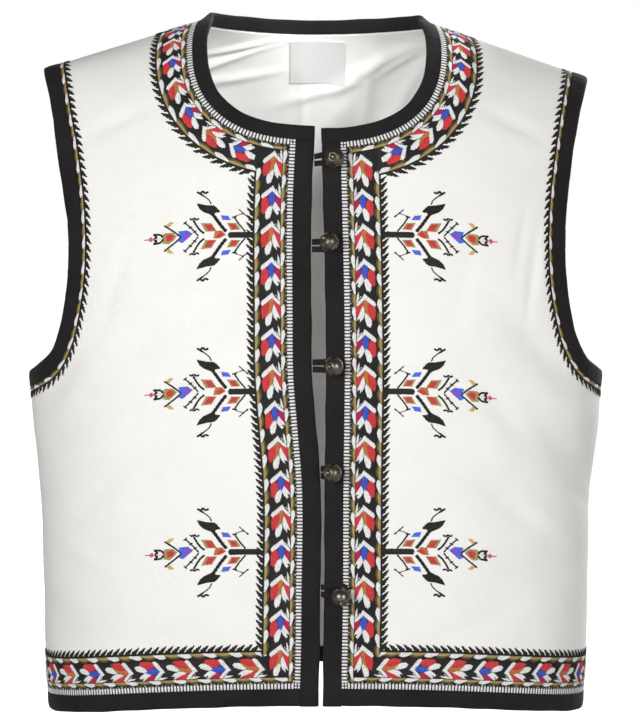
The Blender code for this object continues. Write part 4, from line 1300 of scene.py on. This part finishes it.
# Label
def make_label():
    """A blank woven label, sewn to the lining along its two ends."""
    rise = np.linspace(ROOF_START, float(back_neck_path(1)[-1, 1]), CURVE_SAMPLES)
    down = travelled(cloth_point(np.full_like(rise, HALF_ROUND), rise)[::-1])
    over = np.linspace(-1.0, 1.0, LABEL_COLUMNS)
    drop = np.linspace(LABEL_DROP + LABEL_HEIGHT, LABEL_DROP, LABEL_ROWS)
    around = HALF_ROUND - LABEL_ASIDE + LABEL_HALF_WIDTH * over
    grid = np.stack(np.meshgrid(around, np.interp(drop, down, rise[::-1])), axis=-1)
    wide = np.tile(1 - over ** LABEL_BELLY_POWER, LABEL_ROWS)
    sine = np.sin(np.linspace(LABEL_BELLY_FROM, LABEL_BELLY_TO, LABEL_ROWS))
    near = LINED_LIFT - SEAM_GAP - LABEL_BELLY * wide * np.repeat(sine, LABEL_COLUMNS)
    piece = shell_piece("label_cloth", grid, near, near - LABEL_THICK, LABEL, lining_point)
    keep(piece, "label")
    piece.data.set_sharp_from_angle(angle=SHARP_ANGLE)


# Buttons and loops
def button_frame(height, set_back):
    """Where a button is sewn, the cloth's outward normal, and the way across and up there."""
    across = float(edge_across(height, 1)) + set_back
    around, rise = on_cloth(across, height)
    place = cloth_point(around, rise, BINDING_PROUD)
    normal = cloth_normal(around, rise)
    up = UP - normal * normal[2]
    up /= np.linalg.norm(up)
    return place, normal, np.cross(up, normal), up


def turned_to(axis):
    """The turn that brings an upright part into line with an axis."""
    return Vector(UP).rotation_difference(Vector(axis)).to_euler()


def add_ball(radius, place, turn, sides, rows):
    """A ball whose poles lie on the button's axis."""
    bpy.ops.mesh.primitive_uv_sphere_add(
        segments=sides, ring_count=rows, radius=radius, location=place, rotation=turn)
    return bpy.context.object


def add_ring(radius, wire, place, turn):
    """A wire ring round the button's axis."""
    bpy.ops.mesh.primitive_torus_add(
        major_radius=radius, minor_radius=wire, major_segments=RING_STEPS,
        minor_segments=WIRE_SIDES, location=place, rotation=turn)
    return bpy.context.object


def add_shank(place, normal):
    """The short post between the cloth and the ball."""
    bpy.ops.mesh.primitive_cylinder_add(
        vertices=SHANK_SIDES, radius=SHANK_RADIUS, depth=SHANK_LENGTH,
        location=place + normal * SHANK_LENGTH / 2, rotation=turned_to(normal))
    return bpy.context.object


def make_button(number, height, set_back, tilt, toward):
    """A hollow ball in two halves on a wire shank, with a collar and a small ball at its tip."""
    place, normal, across, up = button_frame(height, set_back)
    place = raised(place)
    angle = math.radians(tilt)
    heading = math.radians(toward)
    lean = across * math.cos(heading) + up * math.sin(heading)
    axis = normal * math.cos(angle) + lean * math.sin(angle)
    turn = turned_to(axis)
    ball = place + normal * SHANK_LENGTH - axis * BUTTON_RADIUS * math.sin(BALL_FOOT)
    tip = ball + axis * (BUTTON_RADIUS + TIP_RADIUS * TIP_STAND)
    bpy.ops.object.select_all(action="DESELECT")
    parts = [
        add_ball(BUTTON_RADIUS, ball, turn, BALL_SIDES, BALL_ROWS),
        add_ball(TIP_RADIUS, tip, turn, TIP_SIDES, TIP_ROWS),
    ]
    for along, radius, wire in BUTTON_RINGS:
        parts.append(add_ring(radius, wire, ball + axis * BUTTON_RADIUS * along, turn))
    parts.append(add_shank(place, normal))
    for part in parts:
        part.select_set(True)
    bpy.context.view_layer.objects.active = parts[0]
    bpy.ops.object.join()
    piece = bpy.context.object
    bpy.ops.object.transform_apply(location=True, rotation=True, scale=True)
    piece.name = "ball_button_%d" % number
    piece.data.materials.clear()
    piece.data.materials.append(SILVER)
    piece.data.shade_smooth()
    piece.data.set_sharp_from_angle(angle=SHARP_ANGLE)
    keep(piece, "button_%d" % number)


def loop_route(height, set_back):
    """The cord's middle line: out of the left edge, round the shank and back."""
    place, normal, across, up = button_frame(height, set_back)
    lift = normal * (SEAM_GAP + CORD_HALF_THICK)
    bend = SHANK_RADIUS + SEAM_GAP + CORD_HALF_WIDTH
    edge = on_cloth(float(edge_across(height, -1)), height)
    start = cloth_point(*edge, BINDING_PROUD - CORD_HALF_THICK) + across * CORD_GAP
    run = float(np.dot(place - start, across))
    slit = run - set_back
    drop = normal * float(np.dot(start - place, normal))
    lower = []
    upper = []
    for slit_part, back_part, raised_part, spread in LOOP_STATIONS:
        reach = slit_part * slit + back_part * set_back
        middle = place + across * (reach - run) + drop * (1 - raised_part) + lift * raised_part
        half = CORD_SPREAD + (bend - CORD_SPREAD) * spread
        lower.append(middle - up * half)
        upper.append(middle + up * half)
    turn = []
    for step in range(CORD_TURN_STEPS + 1):
        angle = math.pi * (step / CORD_TURN_STEPS - 0.5)
        turn.append(place + lift + bend * (across * math.cos(angle) + up * math.sin(angle)))
    return np.array(lower + turn + upper[::-1]), normal, across


def make_loop(number, height, set_back):
    """A flat tube of black cloth with a seam along its face."""
    route, normal, across = loop_route(height, set_back)
    line = smooth_path(route, CORD_SAMPLES)
    travel = np.gradient(line, axis=0)
    travel[0] = across
    travel[-1] = -across
    travel = unit(travel)
    aside = unit(np.cross(travel, normal))
    out = np.cross(aside, travel)
    angle = 2 * math.pi * np.arange(CORD_SIDES) / CORD_SIDES
    cosine = np.cos(angle)
    sine = np.sin(angle)
    dent = 1 - SEAM_DENT * np.exp(-(cosine / SEAM_HALF_WIDTH) ** 2) * (sine > 0)
    wide = CORD_HALF_WIDTH * signed_power(cosine, CORD_POWER)
    thick = CORD_HALF_THICK * sine * dent
    rings = line[:, None] + aside[:, None] * wide[None, :, None] + out[:, None] * thick[None, :, None]
    quads = capped(ring_quads(len(line), CORD_SIDES, False), len(line), CORD_SIDES)
    flat = laid_flat(travelled(line), travelled(np.column_stack((wide, thick))))
    piece = add_mesh("loop_cord_%d" % number, raised(rings), quads, [CORD], flat)
    keep(piece, "loop_%d" % number)


def make_fastenings():
    """The five buttons, each with its loop."""
    for number, (height, set_back, tilt, toward) in enumerate(BUTTONS, start=1):
        make_button(number, height, set_back, tilt, toward)
        make_loop(number, height, set_back)


# Stitching, laid out flat along an edge or as seen from the front, then placed on the cloth
def stepped(spots, heading, distance):
    """Moves places on the cloth by a distance in a direction in space."""
    east, north = (way / (2 * NORMAL_STEP) for way in cloth_steps(*spots.T))
    across = np.sum(east * east, axis=1)
    both = np.sum(east * north, axis=1)
    up = np.sum(north * north, axis=1)
    first = np.sum(east * heading, axis=1)
    second = np.sum(north * heading, axis=1)
    whole = across * up - both ** 2
    move = np.column_stack((up * first - both * second, across * second - both * first)) / whole[:, None]
    return spots + move * distance


def edge_run(path, side, reach):
    """Places on the cloth by distance along an edge and in from it."""
    length = travelled(cloth_point(*path.T))[-1]
    spots = spaced(path, int(math.ceil(length / RUN_STEP)))
    travel = np.gradient(bare_point(*spots.T), axis=0)
    heading = unit(side * np.cross(cloth_normal(*spots.T), travel))
    rows = [spots]
    steps = int(math.ceil(reach / RUN_STEP))
    while len(rows) <= steps:
        spots = stepped(spots, heading, reach / steps)
        normals = cloth_normal(*spots.T)
        heading = unit(heading - normals * np.sum(heading * normals, axis=1, keepdims=True))
        rows.append(spots)
    return {"length": length, "reach": reach, "table": np.array(rows)}


def on_run(run, along, inward):
    """The place on the cloth at a distance along an edge and in from it."""
    table = run["table"]
    row = np.clip(inward / run["reach"], 0.0, 1.0) * (table.shape[0] - 1)
    column = np.clip(along / run["length"], 0.0, 1.0) * (table.shape[1] - 1)
    low_row = np.minimum(row.astype(int), table.shape[0] - 2)
    low_column = np.minimum(column.astype(int), table.shape[1] - 2)
    up = (row - low_row)[..., None]
    over = (column - low_column)[..., None]
    below = table[low_row, low_column] * (1 - over) + table[low_row, low_column + 1] * over
    above = table[low_row + 1, low_column] * (1 - over) + table[low_row + 1, low_column + 1] * over
    return below * (1 - up) + above * up


def thread(colour):
    """The slot of a thread's material."""
    return THREAD_NAMES.index(colour)


def stitch(start, end, width, colour, layer=0.0):
    """One stitch as a row of numbers: its two ends, its width, its thread and its layer."""
    return (*start, *end, width, thread(colour), layer)


def within(mark, first, last):
    """A mark, held between the first and the last."""
    return min(max(mark, first), last)


def filled(outline, lean, colour, generator, pitch=FILL_PITCH, layer=0.0):
    """Stitches side by side that fill an outline. Lean is their direction in degrees."""
    turn = math.radians(lean)
    along = np.array((math.cos(turn), math.sin(turn)))
    aside = np.array((-along[1], along[0]))
    outline = np.asarray(outline, dtype=float)
    here = np.column_stack((outline @ along, outline @ aside))
    there = np.roll(here, -1, axis=0)
    low = here[:, 1].min()
    high = here[:, 1].max()
    count = max(1, int(round((high - low) / pitch)))
    width = pitch * STITCH_OVERLAP
    rows = []
    for step in range(count):
        level = low + (high - low) * (step + 0.5) / count
        crossing = (here[:, 1] <= level) != (there[:, 1] <= level)
        part = (level - here[crossing, 1]) / (there[crossing, 1] - here[crossing, 1])
        reach = np.sort(here[crossing, 0] + part * (there[crossing, 0] - here[crossing, 0]))
        for first, last in zip(reach[::2], reach[1::2]):
            first, last = np.array((first, last)) + generator.uniform(-STITCH_ENDS, STITCH_ENDS, 2)
            pieces = max(1, int(math.ceil((last - first) / LONGEST_STITCH)))
            marks = [along * mark + aside * level for mark in np.linspace(first, last, pieces + 1)]
            rows += [stitch(start, end, width, colour, layer) for start, end in zip(marks, marks[1:])]
    return rows


def lined(places, width, colour):
    """A line of stitches from place to place."""
    rows = []
    for here, there in zip(places, places[1:]):
        here = np.array(here)
        there = np.array(there)
        count = max(1, int(round(np.linalg.norm(there - here) / LINE_STITCH)))
        marks = [here + (there - here) * part for part in np.linspace(0.0, 1.0, count + 1)]
        rows += [stitch(start, end, width, colour) for start, end in zip(marks, marks[1:])]
    return rows


def laddered(first, last, depth):
    """Short white stitches side by side, square to the edge."""
    marks = np.linspace(first, last, int(round((last - first) / LADDER_PITCH)))
    return [stitch((mark, depth[0]), (mark, depth[1]), LADDER_WIDTH, "white") for mark in marks]


def roped(first, last, depth, phase=0.0):
    """A rope of slanted stitches in stretches of gold and white, each thin where it starts, with the end of
    each gold stitch nearest the edge painted darker as shade.
    """
    rows = []
    count = int(round((last - first) / ROPE_PITCH))
    width = ROPE_PITCH * STITCH_OVERLAP
    for mark in np.linspace(first, last, count):
        place = (mark + phase) % (ROPE_GOLD + ROPE_WHITE)
        gold = place < ROPE_GOLD
        part = place / ROPE_GOLD if gold else (place - ROPE_GOLD) / ROPE_WHITE
        reach = ROPE_THIN + (1 - ROPE_THIN) * math.sin(math.pi * min(1.0, ROPE_START + part))
        near = depth[1] - (depth[1] - depth[0]) * reach * (1.0 if gold else ROPE_FULL)
        start = (within(mark - ROPE_SLANT / 2, first, last), near)
        end = (within(mark + ROPE_SLANT / 2, first, last), depth[1])
        if not gold:
            rows.append(stitch(start, end, width, "white"))
            continue
        # painted shade: the stitch's end nearest the edge is a darker copy of the gold
        middle = (start[0] + (end[0] - start[0]) * ROPE_SHADE, near + (depth[1] - near) * ROPE_SHADE)
        rows.append(stitch(start, middle, width, "shaded_gold"))
        rows.append(stitch(middle, end, width, "gold"))
    return rows


def flecked(first, last, depth, generator):
    """Small slanted stitches between the ladder and the outer rope."""
    rows = []
    for number, mark in enumerate(np.arange(first, last, FLECK_PITCH)):
        mark = mark + generator.uniform(-FLECK_UNEVEN, FLECK_UNEVEN) * FLECK_PITCH
        colour = FLECK_COLOURS[number % len(FLECK_COLOURS)]
        rows.append(stitch((mark, depth[0]), (mark + FLECK_LENGTH, depth[1]), FLECK_WIDTH, colour))
    return rows


def toothed(first, last, depth, pitch, generator):
    """Slanted black barbs, each of a few stitches side by side, the foremost the longest."""
    rows = []
    count = int(round((last - first) / pitch))
    for mark in first + (np.arange(count) + 0.5) * (last - first) / count:
        for aside, reach in TOOTH_STITCHES:
            reach = reach + generator.uniform(-TOOTH_UNEVEN, TOOTH_UNEVEN)
            root = mark + TOOTH_LEAN / 2 + aside
            start = (root, depth[0] - TOOTH_WIDTH)
            end = (root - TOOTH_LEAN * reach, depth[0] + (depth[1] - depth[0]) * reach)
            rows.append(stitch(start, end, TOOTH_WIDTH, "black"))
    return rows


def cored(first, last):
    """The core's black ground, of slanted stitches from side to side."""
    rows = []
    width = FILL_PITCH * STITCH_OVERLAP
    for mark in np.linspace(first, last, int(round((last - first) / FILL_PITCH))):
        start = (within(mark - CORE_SLANT, first, last), CORE[0])
        middle = (mark, (CORE[0] + CORE[1]) / 2)
        end = (within(mark + CORE_SLANT, first, last), CORE[1])
        rows.append(stitch(start, middle, width, "black"))
        rows.append(stitch(middle, end, width, "black"))
    return rows


def figured(first, last, pitch, generator):
    """The core's two figures in turn, all facing back along the edge's travel."""
    rows = []
    count = int(round((last - first) / pitch))
    pitch = (last - first) / count
    long = pitch / MOTIF_PITCH / MILLIMETRES
    wide = (CORE[1] - CORE[0]) / FIGURE_WIDTH
    for number in range(count):
        start_mark = first + number * pitch + FIGURE_LEAD
        for colour, outline in (FIGURE_BLUE if number % 2 else FIGURE_RED):
            shape = np.array(outline)
            centre = shape.mean(axis=0)
            shape = centre + (shape - centre) * FIGURE_GROWTH
            out = np.clip(CORE[1] - shape[:, 1] * wide, CORE[0], CORE[1])
            places = np.column_stack((start_mark + shape[:, 0] * long, out))
            rows += filled(places, FIGURE_LEAN, colour, generator, layer=FIGURE_LAYER)
    return [row for row in rows if first < row[0] < last]


# Where each part of a border starts at a corner with the other one, by its own distance in:
# those of the border that runs through, and of the border that stops
PART_ENDS = (LADDER[1], FLECKS[1], OUTER_ROPE[1], CORE[1], INNER_ROPE[1] + SEAM_GAP, TEETH[1])
THROUGH = (LADDER[1], FLECKS[1], OUTER_ROPE[0], CORE[0], INNER_ROPE[0], BORDER_GROUND[1])
STOPPING = (LADDER[1], FLECKS[1], OUTER_ROPE[1], CORE[1], INNER_ROPE[1], BORDER_GROUND[1])
PLAIN = (0.0,) * len(PART_ENDS)
# At the neck's corner the two edges aren't square, so the stitches there are picked one by one
# and only the figures keep a distance of their own
NECK_CLEAR = (0.0, 0.0, 0.0, CORE[1] + NECK_CORE_SHORT, 0.0, 0.0)
FRONT_CLEAR = (0.0, 0.0, 0.0, CORE[0] - FRONT_CORE_EARLY, 0.0, 0.0)
LADDER_MIDDLE = (LADDER[0] + LADDER[1]) / 2


def border_rows(length, start, end, pitch, generator):
    """A whole border along an edge, with what its two ends keep clear."""
    last = [length - keep_clear for keep_clear in end]
    rows = laddered(start[0] + LADDER_PITCH / 2, last[0] - LADDER_PITCH / 2, LADDER)
    rows += flecked(start[1], last[1], FLECKS, generator)
    rows += roped(start[2], last[2], OUTER_ROPE)
    rows += cored(start[3], last[3])
    rows += figured(start[3], last[3], pitch, generator)
    rows += roped(start[4], last[4], INNER_ROPE, ROPE_GOLD / 2)
    rows += toothed(start[5], last[5], TEETH, TOOTH_PITCH, generator)
    return rows


def cornered(mark):
    """Four small squares where two ladders meet."""
    rows = []
    for over in (-CORNER_STEP, CORNER_STEP):
        for up in (-CORNER_STEP, CORNER_STEP):
            start = (mark + over - CORNER_HALF, LADDER_MIDDLE + up)
            end = (start[0] + 2 * CORNER_HALF, LADDER_MIDDLE + up)
            rows.append(stitch(start, end, 2 * CORNER_HALF, "white"))
    return rows


def front_distance(spots, side):
    """How far places on a front lie in from its front edge."""
    across, _, height = bare_point(*spots.T).T
    return side * (across - edge_across(height, side)) - FRONT_BINDING


def neck_distance(spots):
    """How far places on a front lie below its neck edge, square to that edge."""
    across, _, height = bare_point(*spots.T).T
    further = across + np.sign(across) * NORMAL_STEP
    slope = (front_neck_height(further) - front_neck_height(across)) / NORMAL_STEP
    return (front_neck_height(across) - height) / np.hypot(1.0, slope)


def clear_rows(rows, run, limits, distance):
    """Leaves out stitches that come nearer to the other edge than their part may."""
    rows = np.array(rows)
    kept = np.ones(len(rows), dtype=bool)
    depth = (rows[:, 1] + rows[:, 3]) / 2
    part = np.clip(np.searchsorted(PART_ENDS, depth), 0, len(PART_ENDS) - 1)
    for column in (0, 2):
        spots = on_run(run, rows[:, column], rows[:, column + 1])
        kept &= distance(spots) >= np.array(limits)[part]
    return rows[kept]


def facing_out(quads, points, spots):
    """Faces turned to look away from the cloth, as the first one tells."""
    corner = points[quads[0]]
    facing = np.cross(corner[1] - corner[0], corner[3] - corner[0])
    if np.dot(facing, cloth_normal(*spots[quads[0][0]])) < 0:
        return quads[:, ::-1]
    return quads


def stitch_arrays(rows, placed):
    """Points, faces, slots and flat places of raised stitches."""
    rows = np.array(rows)
    start = rows[:, 0:2]
    along = rows[:, 2:4] - start
    length = np.linalg.norm(along, axis=1, keepdims=True)
    aside = np.column_stack((-along[:, 1], along[:, 0])) / np.maximum(length, SHORTEST_STITCH)
    half = rows[:, 4:5] / 2
    tall = np.minimum(STITCH_HEIGHT, STITCH_ROUND * rows[:, 4])
    base = GROUND_LIFT + LAYER_LIFT * rows[:, 6]
    number = np.arange(len(rows)) * STITCH_APART
    flat = []
    lift = []
    laid = []
    for part, height, narrow in STITCH_STATIONS:
        for place in STITCH_SIDES:
            flat.append(start + along * part + aside * half * place * narrow)
            lift.append(base + tall * height * (STITCH_EDGE if place else 1.0))
            laid.append(np.column_stack((number + place * half[:, 0], part * length[:, 0])))
    flat = np.stack(flat, axis=1).reshape(-1, 2)
    lift = np.stack(lift, axis=1).ravel()
    laid = np.stack(laid, axis=1).reshape(-1, 2)
    spots = placed(*flat.T)
    points = cloth_point(*spots.T, lift)
    one = grid_quads(len(STITCH_STATIONS), len(STITCH_SIDES))
    first = np.arange(len(rows)) * len(STITCH_STATIONS) * len(STITCH_SIDES)
    quads = facing_out((first[:, None, None] + one[None]).reshape(-1, 4), points, spots)
    return points, quads, np.repeat(rows[:, 5].astype(int), len(one)), laid


def strip_arrays(run, depth):
    """A thin black ground along an edge, between two distances in from it."""
    columns = int(math.ceil(run["length"] / RUN_STEP)) + 1
    lines = int(math.ceil((depth[1] - depth[0]) / RUN_STEP)) + 1
    along = np.tile(np.linspace(0.0, run["length"], columns), lines)
    inward = np.repeat(np.linspace(depth[0], depth[1], lines), columns)
    rim = np.minimum(inward - depth[0], depth[1] - inward) / RUN_STEP
    spots = on_run(run, along, inward)
    points = cloth_point(*spots.T, GROUND_LIFT * np.clip(rim + GROUND_RIM, 0.0, 1.0))
    quads = facing_out(grid_quads(lines, columns), points, spots)
    return points, quads, np.full(len(quads), thread("black")), np.column_stack((along, inward))


def merged(name, parts):
    """One stitched piece from several sets of arrays."""
    points, quads, picks, laid = zip(*parts)
    starts = np.cumsum([0] + [len(part) for part in points[:-1]])
    quads = [part + start for part, start in zip(quads, starts)]
    piece = add_mesh(name, raised(np.concatenate(points)), np.concatenate(quads), THREAD_MATERIALS,
                     np.concatenate(laid), np.concatenate(picks))
    keep(piece)


def worked(run, rows, ground):
    """A border's thin ground, and its stitches along the edge."""
    stitches = stitch_arrays(rows, lambda along, inward: on_run(run, along, inward))
    return [strip_arrays(run, ground), stitches]


def border_parts(path, side, start, end, pitch, generator, limits=None, distance=None, corners=False):
    """A whole border. Limits and distance say how near its parts may come to another edge."""
    run = edge_run(path, side, TEETH[1] * (1 + TOOTH_UNEVEN))
    rows = border_rows(run["length"], start, end, pitch, generator)
    if distance:
        rows = clear_rows(rows, run, limits, distance)
    if corners:
        rows = np.concatenate((rows, cornered(LADDER_MIDDLE), cornered(run["length"] - LADDER_MIDDLE)))
    return worked(run, rows, BORDER_GROUND)


def armhole_parts(path, side, generator):
    """An armhole's rope and barbs."""
    run = edge_run(path, side, ARMHOLE_TEETH[1] * (1 + TOOTH_UNEVEN))
    rows = roped(0.0, run["length"], ARMHOLE_ROPE)
    rows += toothed(0.0, run["length"], ARMHOLE_TEETH, ARMHOLE_TOOTH_PITCH, generator)
    return worked(run, rows, ARMHOLE_GROUND)


def charted(outline, repeated):
    """A sprig's outline or line in metres, and its repeat below where there is one."""
    for way in ((1, -1) if repeated else (1,)):
        yield way, [(out / MILLIMETRES, way * up / MILLIMETRES) for out, up in outline]


def sprig_rows(generator):
    """One sprig: out from the trunk's root, and up."""
    rows = []
    for colour, repeated, layer, outline, lean in SPRIG_FILLS:
        for way, places in charted(outline, repeated):
            rows += filled(places, way * lean, colour, generator, FINE_PITCH, layer)
    for colour, repeated, width, line in SPRIG_LINES:
        for _, places in charted(line, repeated):
            rows += lined(places, width / MILLIMETRES, colour)
    return rows


def sprig_parts(side, generator):
    """The sprigs of one front, laid out as seen from the front."""
    root = SPRIG_ROOT_RIGHT if side > 0 else SPRIG_ROOT_LEFT
    usual = SPRIG_DROOP_RIGHT if side > 0 else SPRIG_DROOP_LEFT
    parts = []
    for height in SPRIG_HEIGHTS:
        droop = usual + generator.uniform(-SPRIG_DROOP_UNEVEN, SPRIG_DROOP_UNEVEN)

        def placed(out, up, height=height, droop=droop):
            return on_cloth(side * (root + out), height + up - droop * (out / SPRIG_LENGTH) ** 2)
        parts.append(stitch_arrays(sprig_rows(generator), placed))
    return parts


def make_stitching(grids):
    """The borders, the sprigs and the armholes' trim."""
    for number, (name, side) in enumerate(SIDES):
        generator = np.random.default_rng(SEED + number)
        grid = grids[name]
        edge = inner_points(grid, side)
        neck = edge[EDGE_STEPS:][::-1]
        front = edge[:EDGE_STEPS + 1][::-1]
        hem = grid[0] if side > 0 else grid[0][::-1]
        parts = border_parts(neck, side, PLAIN, NECK_CLEAR, NECK_MOTIF_PITCH, generator, STOPPING,
                             lambda spots, side=side: front_distance(spots, side))
        parts += border_parts(front, side, FRONT_CLEAR, THROUGH, MOTIF_PITCH, generator, THROUGH,
                              neck_distance, corners=True)
        parts += border_parts(hem, side, STOPPING, PLAIN, HEM_MOTIF_PITCH, generator)
        merged("stitched_border_" + name, parts)
        armhole = outer_points(grid, side)[SIDE_STEPS:]
        parts = sprig_parts(side, generator)
        parts += armhole_parts(armhole, side, generator)
        merged("stitched_sprigs_" + name, parts)
    generator = np.random.default_rng(SEED + 2)
    back = grids["back"]
    neck = back[-1, SHOULDER_COLUMNS:back.shape[1] - SHOULDER_COLUMNS]
    parts = border_parts(back[0], 1, PLAIN, PLAIN, HEM_MOTIF_PITCH, generator)
    parts += border_parts(neck, -1, PLAIN, PLAIN, NECK_MOTIF_PITCH, generator)
    merged("stitched_border_back", parts)
    parts = armhole_parts(back[SIDE_STEPS:, 0], -1, generator)
    parts += armhole_parts(back[SIDE_STEPS:, -1], 1, generator)
    merged("stitched_armholes_back", parts)


# Floor, lights and camera
def camera_only(graph, elsewhere, seen):
    """A number that is different for what the camera sees at first hand."""
    return graph.ranged(graph.add("ShaderNodeLightPath").outputs["Is Camera Ray"], 0.0, 1.0, elsewhere, seen)


def make_floor():
    """A plain pale floor."""
    bpy.ops.object.select_all(action="DESELECT")
    bpy.ops.mesh.primitive_plane_add(size=FLOOR_WIDTH, location=(0.0, 0.0, FLOOR_HEIGHT))
    bpy.ops.object.transform_apply(location=True, rotation=True, scale=True)
    floor = bpy.context.object
    floor.name = "floor"
    material, graph, shader = new_material("pale_floor", FLOOR_ROUGHNESS, gloss=0.0)
    dark, light = FLOOR_TONES
    tone = graph.noise(graph.object_place(), FLOOR_TONE_SCALE)
    graph.join(shader.inputs["Base Color"], graph.mixed(tone, opaque(dark), opaque(light)))
    shader.inputs["Emission Color"].default_value = WHITE
    graph.join(shader.inputs["Emission Strength"], camera_only(graph, 0.0, FLOOR_GLOW))
    floor.data.materials.append(material)


def aim(thing, place, target):
    """Puts a light or the camera at its place, turned to what it looks at."""
    thing.location = place
    thing.rotation_euler = (Vector(target) - Vector(place)).to_track_quat("-Z", "Y").to_euler()


def add_light(name, kind, place, target, watts):
    """A light of the scene. Its data is given back, for its shape and size."""
    light = bpy.data.lights.new(name, kind)
    light.energy = watts
    lamp = bpy.data.objects.new(name, light)
    bpy.context.scene.collection.objects.link(lamp)
    aim(lamp, place, target)
    return light


def make_lights():
    """Three broad lights, a narrow one into the neck, and a pale surround."""
    for name, place, width, height, watts in LIGHTS:
        light = add_light(name, "AREA", place, LIGHT_TARGET, watts)
        light.shape = "RECTANGLE"
        light.size = width
        light.size_y = height
    light = add_light("neck", "SPOT", NECK_LIGHT_PLACE, NECK_LIGHT_TARGET, NECK_LIGHT_WATTS)
    light.spot_size = NECK_LIGHT_CONE
    light.spot_blend = NECK_LIGHT_BLEND
    light.shadow_soft_size = NECK_LIGHT_SIZE
    world = bpy.data.worlds.new("studio")
    world.use_nodes = True
    background = world.node_tree.nodes["Background"]
    background.inputs["Color"].default_value = WHITE
    graph = Graph(world.node_tree)
    graph.join(background.inputs["Strength"], camera_only(graph, WORLD_STRENGTH, WORLD_SEEN))
    bpy.context.scene.world = world
    bpy.context.scene.view_settings.view_transform = "Standard"


def make_camera():
    """At the photograph's angle: nearly level, and a little to the viewer's left."""
    azimuth = math.radians(CAMERA_AZIMUTH)
    elevation = math.radians(CAMERA_ELEVATION)
    target = Vector((CAMERA_ASIDE, 0.0, CAMERA_CENTRE - HOLD_HEIGHT))
    level = math.cos(elevation)
    away = Vector((math.sin(azimuth) * level, -math.cos(azimuth) * level, math.sin(elevation)))
    lens = bpy.data.cameras.new("camera")
    lens.sensor_fit = "HORIZONTAL"
    lens.sensor_width = SENSOR_WIDTH
    lens.lens = SENSOR_WIDTH * CAMERA_DISTANCE / CAMERA_SPAN
    camera = bpy.data.objects.new("camera", lens)
    bpy.context.scene.collection.objects.link(camera)
    aim(camera, target + away * CAMERA_DISTANCE, target)
    bpy.context.scene.camera = camera


def main():
    grids = {"left": front_grid(-1), "right": front_grid(1), "back": back_grid()}
    make_cloth(grids)
    make_bands(grids)
    make_label()
    make_fastenings()
    make_stitching(grids)
    make_floor()
    make_lights()
    make_camera()


main()
